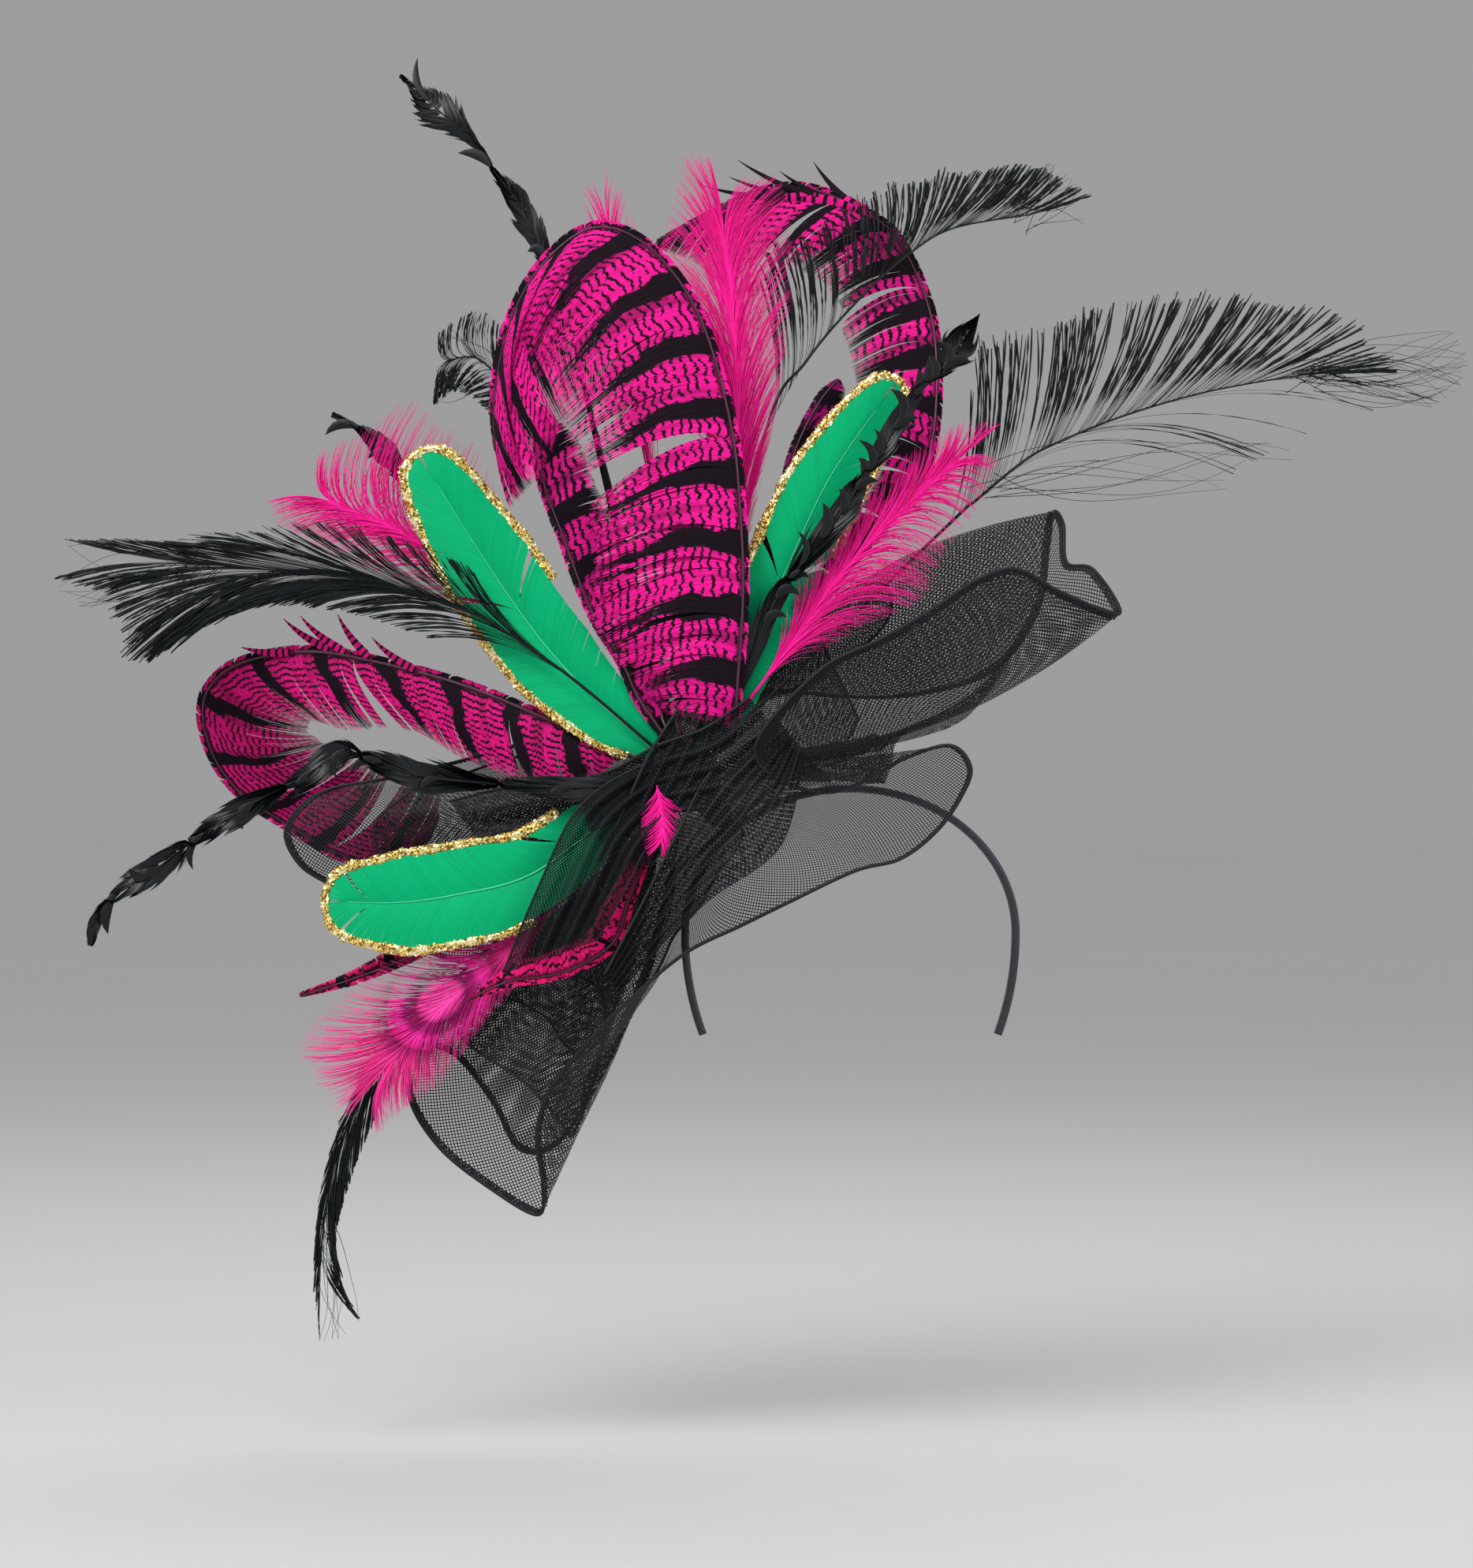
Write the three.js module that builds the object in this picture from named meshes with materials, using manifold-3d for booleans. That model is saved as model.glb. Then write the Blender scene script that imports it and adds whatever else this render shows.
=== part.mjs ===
// Headband fascinator: a satin headband, a ruffled crinoline brim and a spray of feathers.
// Millimetres, +Z up, -Y to the front. The origin is the inner top of the headband.
import * as THREE from 'three';
import Module from 'manifold-3d';

const wasm = await Module();
wasm.setup();

// Headband
const bandHalfWidth = 84.8;
const bandCrownHeight = 74;
const bandLegRun = 52;
const bandLegCurve = 115;
const bandThickness = 4;
const bandWidth = 9.5;
const bandChamfer = 1.2;
const legSteps = 5;
const arcSteps = 20;

// Felt base and bound stems
const seatGap = 0.3;
const baseTurn = 45;
const baseRadius = 38;
const baseThickness = 2.5;
const baseSides = 32;
const stalkRise = 31.4;
const stalkRadius = 7;
const stalkSides = 12;
const hubForward = 30;
const hubRadius = 18;
const hubLength = 33;
const hubSides = 24;

// Spray: shares in the feather tables are of sprayReach, those of the ruffles of brimReach
const sprayReach = 400;
const brimReach = 400;
const sprayDepth = 48;
const sweepBack = 0.06;

// Feather walls
const quillWidth = 2;
const ridgeThickness = 2;
const vaneThickness = 1.2;
const edgeThickness = 0.9;

// Pheasant vanes: the narrow outer vane, the rows over which it grows, and the notches of the inner one
const outerVane = 5;
const outerVaneRows = 4;
const outerVaneTip = 0.2;
const notchShare = 0.9;
const firstNotch = 5;

// Goose vanes and their glitter edges: steps of the outline, and how the edge widens past the tip
const gooseSteps = 12;
const gooseTipShare = 0.03;
const goldWidth = 3.6;
const goldGap = 0.5;
const goldThickness = 2.2;
const goldSideRate = 8;
const goldTipRate = 3;

// Plumes and swords: the fan is whole up to the last of its shares, and pointed locks go on from there
const plumeShaftWidth = 3;
const swordShaftWidth = 2.6;
const shaftTaper = 0.4;
const shaftSteps = 4;
const lockThickness = 1.8;
const lockTipWidth = 1.2;
const lockTipShare = 0.5;
const lockSweep = 0.38;
const lockSpread = 0.03;
const locksPerRow = 1.35;
const fanShares = [0, 0.35, 0.7];

// Curled satin feathers: the plain share of the stem, and how flat the curls are pressed
const plainStem = 0.12;
const twistFlat = 0.45;

// Crinoline
const crinWall = 1.3;
const rimCord = 3;
const ruffleLength = 120;
const pleatDepth = 5;
const pleatRows = 3;

const colours = {
  satin: [0x1c1e24, 0.35],
  felt: [0x111113, 0.9],
  crinoline: [0x17181a, 0.6],
  pheasant: [0xd0107c, 0.6],
  crimson: [0xc0144c, 0.6],
  green: [0x00b478, 0.45],
  gold: [0xd4af37, 0.35],
  pink: [0xff28a0, 0.7],
  black: [0x141618, 0.5],
};

const part = new THREE.Group();

function add(name, geometry, look) {
  const [color, roughness] = colours[look];
  const metalness = look === 'gold' ? 0.8 : 0;
  const mesh = new THREE.Mesh(geometry, new THREE.MeshStandardMaterial({ color, roughness, metalness }));
  mesh.name = name;
  part.add(mesh);
}

const radians = (degrees) => (degrees * Math.PI) / 180;
const mix = (a, b, share) => a + (b - a) * share;

// A smooth run through table rows, with named columns and a few steps to each row
function curve(columns, rows, steps, closed = false) {
  const count = rows.length;
  const spans = closed ? count : count - 1;
  const value = (index, column) => {
    if (!closed) return rows[Math.min(Math.max(index, 0), count - 1)][column];
    const lap = columns[column] === 'turn' ? 360 * Math.floor(index / count) : 0;
    return rows[(index + count) % count][column] + lap;
  };
  const points = [];
  for (let step = 0; step < spans * steps + (closed ? 0 : 1); step += 1) {
    const index = Math.min(Math.floor(step / steps), spans - 1);
    const t = step / steps - index;
    const point = {};
    columns.forEach((name, column) => {
      const [a, b, c, d] = [-1, 0, 1, 2].map((shift) => value(index + shift, column));
      point[name] = b + 0.5 * t * (c - a + t * (2 * a - 5 * b + 4 * c - d + t * (3 * (b - c) + d - a)));
    });
    points.push(point);
  }
  return points;
}

// A closed mesh from corner points and triangles, turned so that its faces point out
function solid(points, triangles) {
  let volume = 0;
  for (const [a, b, c] of triangles) {
    volume += points[a].dot(new THREE.Vector3().crossVectors(points[b], points[c]));
  }
  const faces = volume < 0 ? triangles.map(([a, b, c]) => [a, c, b]) : triangles;
  const geometry = new THREE.BufferGeometry();
  geometry.setAttribute('position', new THREE.Float32BufferAttribute(points.flatMap((p) => p.toArray()), 3));
  geometry.setIndex(faces.flat());
  geometry.computeVertexNormals();
  return geometry;
}

const quad = (a, b, c, d) => [[a, b, c], [a, c, d]];

// A wall over a grid of middle points: grid[row][column], with a thickness for each column
function shell(grid, thickness, closed = false) {
  const rows = grid.length;
  const columns = grid[0].length;
  const points = [];
  const row = (i) => (closed ? (i + rows) % rows : Math.min(Math.max(i, 0), rows - 1));
  const column = (j) => Math.min(Math.max(j, 0), columns - 1);
  for (let i = 0; i < rows; i += 1) {
    for (let j = 0; j < columns; j += 1) {
      const along = grid[row(i + 1)][j].clone().sub(grid[row(i - 1)][j]);
      const across = grid[i][column(j + 1)].clone().sub(grid[i][column(j - 1)]);
      const offset = along.cross(across).normalize().multiplyScalar(thickness[j] / 2);
      points.push(grid[i][j].clone().add(offset), grid[i][j].clone().sub(offset));
    }
  }
  const at = (i, j, side) => (row(i) * columns + j) * 2 + side;
  const triangles = [];
  const spans = closed ? rows : rows - 1;
  for (let i = 0; i < spans; i += 1) {
    for (let j = 0; j < columns - 1; j += 1) {
      triangles.push(...quad(at(i, j, 0), at(i + 1, j, 0), at(i + 1, j + 1, 0), at(i, j + 1, 0)));
      triangles.push(...quad(at(i, j, 1), at(i, j + 1, 1), at(i + 1, j + 1, 1), at(i + 1, j, 1)));
    }
    triangles.push(...quad(at(i, 0, 0), at(i, 0, 1), at(i + 1, 0, 1), at(i + 1, 0, 0)));
    const last = columns - 1;
    triangles.push(...quad(at(i, last, 0), at(i + 1, last, 0), at(i + 1, last, 1), at(i, last, 1)));
  }
  if (!closed) {
    for (let j = 0; j < columns - 1; j += 1) {
      triangles.push(...quad(at(0, j, 0), at(0, j + 1, 0), at(0, j + 1, 1), at(0, j, 1)));
      const end = rows - 1;
      triangles.push(...quad(at(end, j, 0), at(end, j, 1), at(end, j + 1, 1), at(end, j + 1, 0)));
    }
  }
  return solid(points, triangles);
}

// A closed solid through rings of equal point counts. The two sides of a flat blade fold the same way
function loft(rings) {
  const sides = rings[0].length;
  const triangles = [];
  for (let i = 0; i < rings.length - 1; i += 1) {
    for (let k = 0; k < sides; k += 1) {
      const next = (k + 1) % sides;
      const corners = [i * sides + k, i * sides + next, (i + 1) * sides + next, (i + 1) * sides + k];
      if (k >= sides / 2) corners.push(corners.shift());
      triangles.push(...quad(...corners));
    }
  }
  const end = (rings.length - 1) * sides;
  for (let k = 1; k < sides - 1; k += 1) {
    triangles.push([0, k + 1, k], [end, end + k, end + k + 1]);
  }
  return solid(rings.flat(), triangles);
}

// Headband: half an ellipse over the crown, with legs that curve in below it
function bandPoint(turn) {
  return new THREE.Vector3(
    bandHalfWidth * Math.sin(turn),
    0,
    bandThickness / 2 - bandCrownHeight * (1 - Math.cos(turn)),
  );
}

function bandNormal(turn) {
  return new THREE.Vector3(bandCrownHeight * Math.sin(turn), 0, bandHalfWidth * Math.cos(turn)).normalize();
}

function legPoint(side, drop) {
  const x = bandHalfWidth * Math.sqrt(1 - (drop / bandLegCurve) ** 2);
  return new THREE.Vector3(side * x, 0, bandThickness / 2 - bandCrownHeight - drop);
}

function legNormal(side, drop) {
  const slope = drop / bandLegCurve;
  const out = side * Math.sqrt(1 - slope ** 2) * bandLegCurve;
  return new THREE.Vector3(out, 0, -slope * bandHalfWidth).normalize();
}

function headband() {
  const frames = [];
  for (let k = legSteps; k > 0; k -= 1) {
    frames.push([legPoint(-1, (bandLegRun * k) / legSteps), legNormal(-1, (bandLegRun * k) / legSteps)]);
  }
  for (let k = 0; k <= arcSteps; k += 1) {
    const turn = Math.PI * (k / arcSteps - 0.5);
    frames.push([bandPoint(turn), bandNormal(turn)]);
  }
  for (let k = 1; k <= legSteps; k += 1) {
    frames.push([legPoint(1, (bandLegRun * k) / legSteps), legNormal(1, (bandLegRun * k) / legSteps)]);
  }
  const thick = bandThickness / 2;
  const wide = bandWidth / 2;
  const corners = [[1, 1], [-1, 1], [-1, -1], [1, -1]];
  const rings = frames.map(([centre, normal]) => corners.flatMap(([out, back], corner) => {
    const flat = [out * thick, back * (wide - bandChamfer)];
    const edge = [out * (thick - bandChamfer), back * wide];
    const pair = corner % 2 === 0 ? [flat, edge] : [edge, flat];
    return pair.map(([rise, depth]) => centre.clone().addScaledVector(normal, rise).setY(depth));
  }));
  return loft(rings);
}

// Felt base on the band, and the stalk and drum of bound stems above it
const baseAngle = -radians(baseTurn);
const baseNormal = bandNormal(baseAngle);
const baseFoot = bandPoint(baseAngle).addScaledVector(baseNormal, bandThickness / 2 + seatGap);
const stalkFoot = baseFoot.clone().addScaledVector(baseNormal, baseThickness + seatGap).setY(-hubForward);
const hub = stalkFoot.clone().addScaledVector(baseNormal, stalkRise);

function drum(from, to, radius, sides) {
  const axis = to.clone().sub(from).normalize();
  const across = new THREE.Vector3(axis.z, 0, -axis.x);
  if (across.length() < 0.5) across.set(1, 0, 0);
  const up = new THREE.Vector3().crossVectors(axis, across.normalize());
  const ring = (centre) => Array.from({ length: sides }, (_, k) => {
    const turn = (2 * Math.PI * k) / sides;
    const spoke = across.clone().multiplyScalar(Math.cos(turn)).addScaledVector(up, Math.sin(turn));
    return centre.clone().addScaledVector(spoke, radius);
  });
  return loft([ring(from), ring(to)]);
}

function asManifold(geometry) {
  const vertProperties = new Float32Array(geometry.getAttribute('position').array);
  const triVerts = new Uint32Array(geometry.getIndex().array);
  return new wasm.Manifold(new wasm.Mesh({ numProp: 3, vertProperties, triVerts }));
}

function stemBinding() {
  const front = new THREE.Vector3(0, -hubLength / 2, 0);
  const head = drum(hub.clone().add(front), hub.clone().sub(front), hubRadius, hubSides);
  const stalk = drum(stalkFoot, hub, stalkRadius, stalkSides);
  const joined = asManifold(head).add(asManifold(stalk)).getMesh();
  const geometry = new THREE.BufferGeometry();
  geometry.setAttribute('position', new THREE.BufferAttribute(new Float32Array(joined.vertProperties), 3));
  geometry.setIndex(new THREE.BufferAttribute(new Uint32Array(joined.triVerts), 1));
  geometry.computeVertexNormals();
  return geometry;
}

// A point of the spray: shares of the reach to the right, up and to the front of the drum
function place(right, up, front, reach) {
  const spread = right * right + up * up;
  return new THREE.Vector3(
    hub.x + right * reach,
    hub.y - (front - sweepBack * spread) * reach,
    hub.z + up * reach,
  );
}

// Each feather lies on a cone of its own lean, so that feathers that cross keep apart
function onCone(lean, right, up, lift = 0) {
  const front = lean * (Math.hypot(right, up) + sprayDepth / sprayReach) + lift;
  return place(right, up, front, sprayReach);
}

// The row at the drum, where a quill or a strip of crinoline is sewn in
function rootRow(turn, reach, extra = 0) {
  const radius = (hubRadius + seatGap + extra) / Math.cos(Math.PI / hubSides) / reach;
  return [radius * Math.cos(radians(turn)), radius * Math.sin(radians(turn))];
}

// Directions across a flat route, to its left
function across(points, index) {
  const before = points[Math.max(index - 1, 0)];
  const after = points[Math.min(index + 1, points.length - 1)];
  const length = Math.hypot(after.right - before.right, after.up - before.up);
  return [-(after.up - before.up) / length, (after.right - before.right) / length];
}

// Pheasant feathers. Each row: the spine, then the inner edge of the vane, then its lift to the front
const pheasantColumns = ['right', 'up', 'inRight', 'inUp', 'lift'];
const pheasants = [
  {
    name: 'pheasant_main', look: 'pheasant', lean: 0.1, turn: 40, side: -1,
    rows: [
      [0.059, 0.050, 0.054, 0.052, 0],
      [0.066, 0.130, -0.030, 0.100, 0],
      [0.072, 0.230, -0.098, 0.190, 0],
      [0.069, 0.326, -0.100, 0.290, 0],
      [0.057, 0.442, -0.070, 0.400, 0],
      [0.017, 0.580, -0.085, 0.470, 0],
      [-0.046, 0.666, -0.110, 0.485, 0],
      [-0.115, 0.691, -0.132, 0.490, 0],
      [-0.180, 0.645, -0.150, 0.470, 0],
      [-0.221, 0.572, -0.168, 0.430, 0],
      [-0.241, 0.480, -0.190, 0.385, 0],
      [-0.240, 0.410, -0.225, 0.345, 0],
    ],
  },
  {
    name: 'pheasant_inner', look: 'pheasant', lean: 0.055, turn: 116, side: 1,
    rows: [
      [-0.036, 0.065, -0.032, 0.067, 0],
      [-0.061, 0.102, -0.020, 0.125, 0],
      [-0.083, 0.150, -0.030, 0.190, 0],
      [-0.121, 0.214, -0.070, 0.260, 0],
      [-0.156, 0.306, -0.100, 0.335, 0],
      [-0.182, 0.380, -0.135, 0.420, 0],
      [-0.192, 0.465, -0.178, 0.470, 0],
    ],
  },
  {
    name: 'pheasant_right', look: 'pheasant', lean: -0.15, turn: 56, side: -1,
    rows: [
      [0.060, 0.085, 0.056, 0.088, 0],
      [0.180, 0.240, 0.165, 0.250, 0],
      [0.290, 0.370, 0.255, 0.385, 0],
      [0.316, 0.432, 0.258, 0.455, 0],
      [0.323, 0.511, 0.248, 0.503, 0],
      [0.318, 0.590, 0.234, 0.565, 0],
      [0.295, 0.660, 0.215, 0.630, 0],
      [0.262, 0.714, 0.175, 0.672, 0],
      [0.195, 0.755, 0.118, 0.690, 0],
      [0.129, 0.768, 0.060, 0.680, 0],
      [0.054, 0.745, 0.010, 0.690, 0],
      [-0.040, 0.697, -0.043, 0.690, 0],
    ],
  },
  {
    name: 'pheasant_dark', look: 'pheasant', lean: -0.07, turn: 70, side: 1,
    rows: [
      [0.028, 0.078, 0.032, 0.076, 0],
      [0.075, 0.220, 0.090, 0.215, 0],
      [0.115, 0.330, 0.165, 0.320, 0],
      [0.140, 0.420, 0.195, 0.420, 0],
      [0.170, 0.480, 0.205, 0.480, 0],
      [0.194, 0.510, 0.198, 0.508, 0],
    ],
  },
  {
    name: 'pheasant_left', look: 'pheasant', lean: -0.018, turn: 160, side: -1,
    rows: [
      [-0.080, 0.030, -0.079, 0.025, 0],
      [-0.150, 0.062, -0.145, 0.002, 0],
      [-0.281, 0.116, -0.265, 0.035, 0],
      [-0.405, 0.149, -0.365, 0.080, 0],
      [-0.480, 0.160, -0.440, 0.084, 0],
      [-0.550, 0.152, -0.490, 0.090, -0.015],
      [-0.596, 0.133, -0.510, 0.080, -0.035],
      [-0.623, 0.095, -0.512, 0.062, -0.060],
      [-0.616, 0.035, -0.498, 0.040, -0.090],
      [-0.580, -0.020, -0.475, 0.020, -0.115],
      [-0.513, -0.066, -0.430, -0.005, -0.140],
      [-0.455, -0.100, -0.385, -0.020, -0.150],
      [-0.390, -0.112, -0.340, -0.035, -0.150],
      [-0.332, -0.075, -0.325, -0.060, -0.150],
    ],
  },
  {
    name: 'pheasant_low', look: 'crimson', lean: 0.16, turn: 238, side: 1,
    rows: [
      [-0.040, -0.068, -0.044, -0.066, 0],
      [-0.070, -0.150, -0.100, -0.150, 0],
      [-0.093, -0.210, -0.125, -0.195, 0],
      [-0.155, -0.245, -0.160, -0.215, 0],
      [-0.222, -0.256, -0.220, -0.235, 0],
      [-0.271, -0.278, -0.268, -0.274, 0],
    ],
  },
  {
    name: 'pheasant_sliver', look: 'crimson', lean: -0.012, turn: 204, side: 1,
    rows: [
      [-0.073, -0.036, -0.074, -0.031, 0],
      [-0.200, -0.130, -0.215, -0.095, 0],
      [-0.300, -0.200, -0.330, -0.150, 0],
      [-0.380, -0.240, -0.390, -0.225, 0],
      [-0.492, -0.279, -0.493, -0.274, 0],
    ],
  },
];

function pheasant(row) {
  const root = rootRow(row.turn, sprayReach);
  const quill = quillWidth / sprayReach / 2;
  const side = [-root[1], root[0]].map((v) => (v / Math.hypot(...root)) * quill * -row.side);
  const first = [root[0], root[1], root[0] + side[0], root[1] + side[1], 0];
  const points = curve(pheasantColumns, [first, ...row.rows], 2);
  const grid = points.map((p, index) => {
    const [right, up] = across(points, index);
    const left = (points.length - 1 - index) / outerVaneRows + outerVaneTip;
    const grown = Math.min(1, index / outerVaneRows) * Math.min(1, left);
    const outer = (mix(quillWidth / 2, outerVane, grown) / sprayReach) * row.side;
    const reach = index % 2 === 1 && index >= firstNotch ? notchShare : 1;
    const inner = [mix(p.right, p.inRight, reach), mix(p.up, p.inUp, reach)];
    return [
      onCone(row.lean, p.right + right * outer, p.up + up * outer, p.lift),
      onCone(row.lean, p.right, p.up, p.lift),
      onCone(row.lean, mix(p.right, inner[0], 0.5), mix(p.up, inner[1], 0.5), p.lift),
      onCone(row.lean, inner[0], inner[1], p.lift),
    ];
  });
  return shell(grid, [edgeThickness, ridgeThickness, vaneThickness, edgeThickness]);
}

// Trimmed goose feathers. Outline rows: a share of the length from the tip, then the half width there
const gooseColumns = ['right', 'up'];
const outlineRows = [[0, 0], [0.15, 0.42], [0.3, 0.72], [0.5, 1], [0.7, 0.98], [0.85, 0.68], [1, 0.08]];
const geese = [
  {
    name: 'left', lean: 0.015, turn: 142, halfWidth: 22, goldFrom: 11, goldTo: 7,
    rows: [[-0.064, 0.055], [-0.129, 0.112], [-0.196, 0.189], [-0.267, 0.293], [-0.338, 0.408]],
  },
  {
    name: 'right', lean: -0.005, turn: 63, halfWidth: 18, goldFrom: 10, goldTo: 7,
    rows: [[0.044, 0.072], [0.086, 0.168], [0.128, 0.265], [0.185, 0.385], [0.267, 0.502]],
  },
  {
    name: 'low', lean: 0.12, turn: 196, halfWidth: 23, goldFrom: 9, goldTo: 10,
    rows: [[-0.078, -0.035], [-0.190, -0.120], [-0.290, -0.148], [-0.370, -0.158], [-0.449, -0.155]],
  },
];

// Half width of a goose feather, at a share of its length from the tip
function gooseWidth(share) {
  const next = Math.max(outlineRows.findIndex(([fromTip]) => fromTip >= share), 1);
  const [[near, nearWide], [far, farWide]] = [outlineRows[next - 1], outlineRows[next]];
  return mix(nearWide, farWide, (share - near) / (far - near));
}

// Its outline at a share from -1, left of the base, through 0, the tip, to 1, grown by some millimetres
function goosePoint(goose, share, grow) {
  const spine = curve(gooseColumns, [rootRow(goose.turn, sprayReach), ...goose.rows], 6);
  const spot = (1 - share * share) * (spine.length - 1);
  const index = Math.min(Math.floor(spot), spine.length - 2);
  const [here, next] = [spine[index], spine[index + 1]];
  const [right, up] = across(spine, index);
  const grown = grow * Math.min(1, Math.abs(share) * goldSideRate);
  const half = -Math.sign(share) * (gooseWidth(Math.abs(share)) * goose.halfWidth + grown);
  const ahead = Math.max(0, 1 - Math.abs(share) * goldTipRate) * grow;
  return [
    mix(here.right, next.right, spot - index) + (right * half + up * ahead) / sprayReach,
    mix(here.up, next.up, spot - index) + (up * half - right * ahead) / sprayReach,
  ];
}

// Shares of the outline that the vane and its glitter edge both stop at
const gooseShare = (step) => (step === 0 ? gooseTipShare : step / gooseSteps);

function gooseVane(goose) {
  const grid = [];
  for (let step = gooseSteps; step >= 0; step -= 1) {
    const left = goosePoint(goose, -gooseShare(step), 0);
    const right = goosePoint(goose, gooseShare(step), 0);
    const middle = [mix(left[0], right[0], 0.5), mix(left[1], right[1], 0.5)];
    grid.push([left, middle, right].map(([r, u]) => onCone(goose.lean, r, u)));
  }
  return shell(grid, [edgeThickness, ridgeThickness, edgeThickness]);
}

function goldEdge(goose) {
  const shares = [];
  for (let step = goose.goldFrom; step >= 0; step -= 1) shares.push(-gooseShare(step));
  for (let step = 0; step <= goose.goldTo; step += 1) shares.push(gooseShare(step));
  const grid = shares.map((share) => {
    const inner = goosePoint(goose, share, goldGap);
    const outer = goosePoint(goose, share, goldGap + goldWidth);
    return [inner, outer].map(([r, u]) => onCone(goose.lean, r, u));
  });
  return shell(grid, [goldThickness, goldThickness]);
}

// A shaft with a fan on each side of it, which parts into pointed locks towards its tips
function comb(row) {
  const points = [];
  const triangles = [];
  const run = curve(routeColumns, row.shaft, shaftSteps);
  const locks = Math.round(Math.max(row.left.length, row.right.length) * locksPerRow);
  const along = (list, share) => {
    const spot = share * (list.length - 1);
    const index = Math.min(Math.floor(spot), list.length - 2);
    return [0, 1].map((axis) => mix(list[index][axis], list[index + 1][axis], spot - index));
  };
  const route = run.map((spot) => [spot.right, spot.up]);
  const shaft = Array.from({ length: locks + 1 }, (_, k) => along(route, k / locks));
  const spine = [rootRow(row.turn, sprayReach), ...shaft].map(([right, up]) => ({ right, up }));
  const corner = (right, up, thick) => {
    const middle = onCone(row.lean, right, up);
    points.push(middle.clone().setY(middle.y - thick / 2), middle.clone().setY(middle.y + thick / 2));
    return { right, up, at: points.length - 2 };
  };
  const last = spine.length - 1;
  const edges = spine.map((spot, index) => {
    const [right, up] = across(spine, index);
    const half = (mix(1, shaftTaper, index / last) * row.shaftWidth) / 2 / sprayReach;
    const edge = (way) => corner(spot.right + right * half * way, spot.up + up * half * way, ridgeThickness);
    return { left: edge(1), right: edge(-1), forward: [up, -right], out: [right, up] };
  });
  const face = (a, b, c, d) => {
    triangles.push(...quad(a.at, b.at, c.at, d.at), ...quad(a.at + 1, d.at + 1, c.at + 1, b.at + 1));
  };
  const wall = (a, b) => triangles.push(...quad(a.at, a.at + 1, b.at + 1, b.at));

  // One side: its boundaries, in an order that keeps its faces turned the same way as the shaft's
  const fan = (chain, tips) => {
    const outer = fanShares.length - 1;
    for (let s = 0; s < outer; s += 1) {
      wall(chain[0][s], chain[0][s + 1]);
      wall(chain[locks][s + 1], chain[locks][s]);
      for (let k = 0; k < locks; k += 1) {
        face(chain[k][s], chain[k][s + 1], chain[k + 1][s + 1], chain[k + 1][s]);
      }
    }
    for (let k = 0; k < locks; k += 1) {
      const [a, b] = [chain[k][outer], chain[k + 1][outer]];
      const width = Math.hypot(a.right - b.right, a.up - b.up);
      const half = Math.min(lockTipWidth / sprayReach, width * lockTipShare) / 2 / width;
      const tip = (way) => corner(
        tips[k][0] + (a.right - b.right) * half * way,
        tips[k][1] + (a.up - b.up) * half * way,
        edgeThickness,
      );
      const [first, second] = [tip(1), tip(-1)];
      face(a, first, second, b);
      wall(a, first);
      wall(first, second);
      wall(second, b);
    }
  };
  const boundary = (side, k) => {
    const { [side]: start, forward, out } = edges[k + 1];
    const tip = along(row[side], k / locks);
    const reach = Math.hypot(tip[0] - start.right, tip[1] - start.up);
    const outward = side === 'left' ? lockSpread : -lockSpread;
    const bend = [start.right, start.up].map((value, axis) => (
      value + (forward[axis] * lockSweep + out[axis] * outward) * reach
    ));
    return fanShares.map((t) => (t === 0 ? start : corner(
      (1 - t) ** 2 * start.right + 2 * t * (1 - t) * bend[0] + t * t * tip[0],
      (1 - t) ** 2 * start.up + 2 * t * (1 - t) * bend[1] + t * t * tip[1],
      lockThickness,
    )));
  };
  for (const side of ['left', 'right']) {
    const [from, to] = side === 'right' ? [0, 1] : [1, 0];
    wall(edges[from][side], edges[to][side]);
    if (row[side].length === 0) {
      for (let k = 1; k < last; k += 1) wall(edges[k + from][side], edges[k + to][side]);
    } else {
      const chain = Array.from({ length: locks + 1 }, (_, k) => boundary(side, k));
      const tips = Array.from({ length: locks }, (_, k) => along(row[side], (k + 0.5) / locks));
      if (side === 'right') fan(chain, tips);
      else fan(chain.reverse(), tips.reverse());
    }
  }
  for (let k = 0; k < last; k += 1) {
    face(edges[k].left, edges[k].right, edges[k + 1].right, edges[k + 1].left);
  }
  wall(edges[0].left, edges[0].right);
  wall(edges[last].right, edges[last].left);
  return solid(points, triangles);
}

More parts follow.
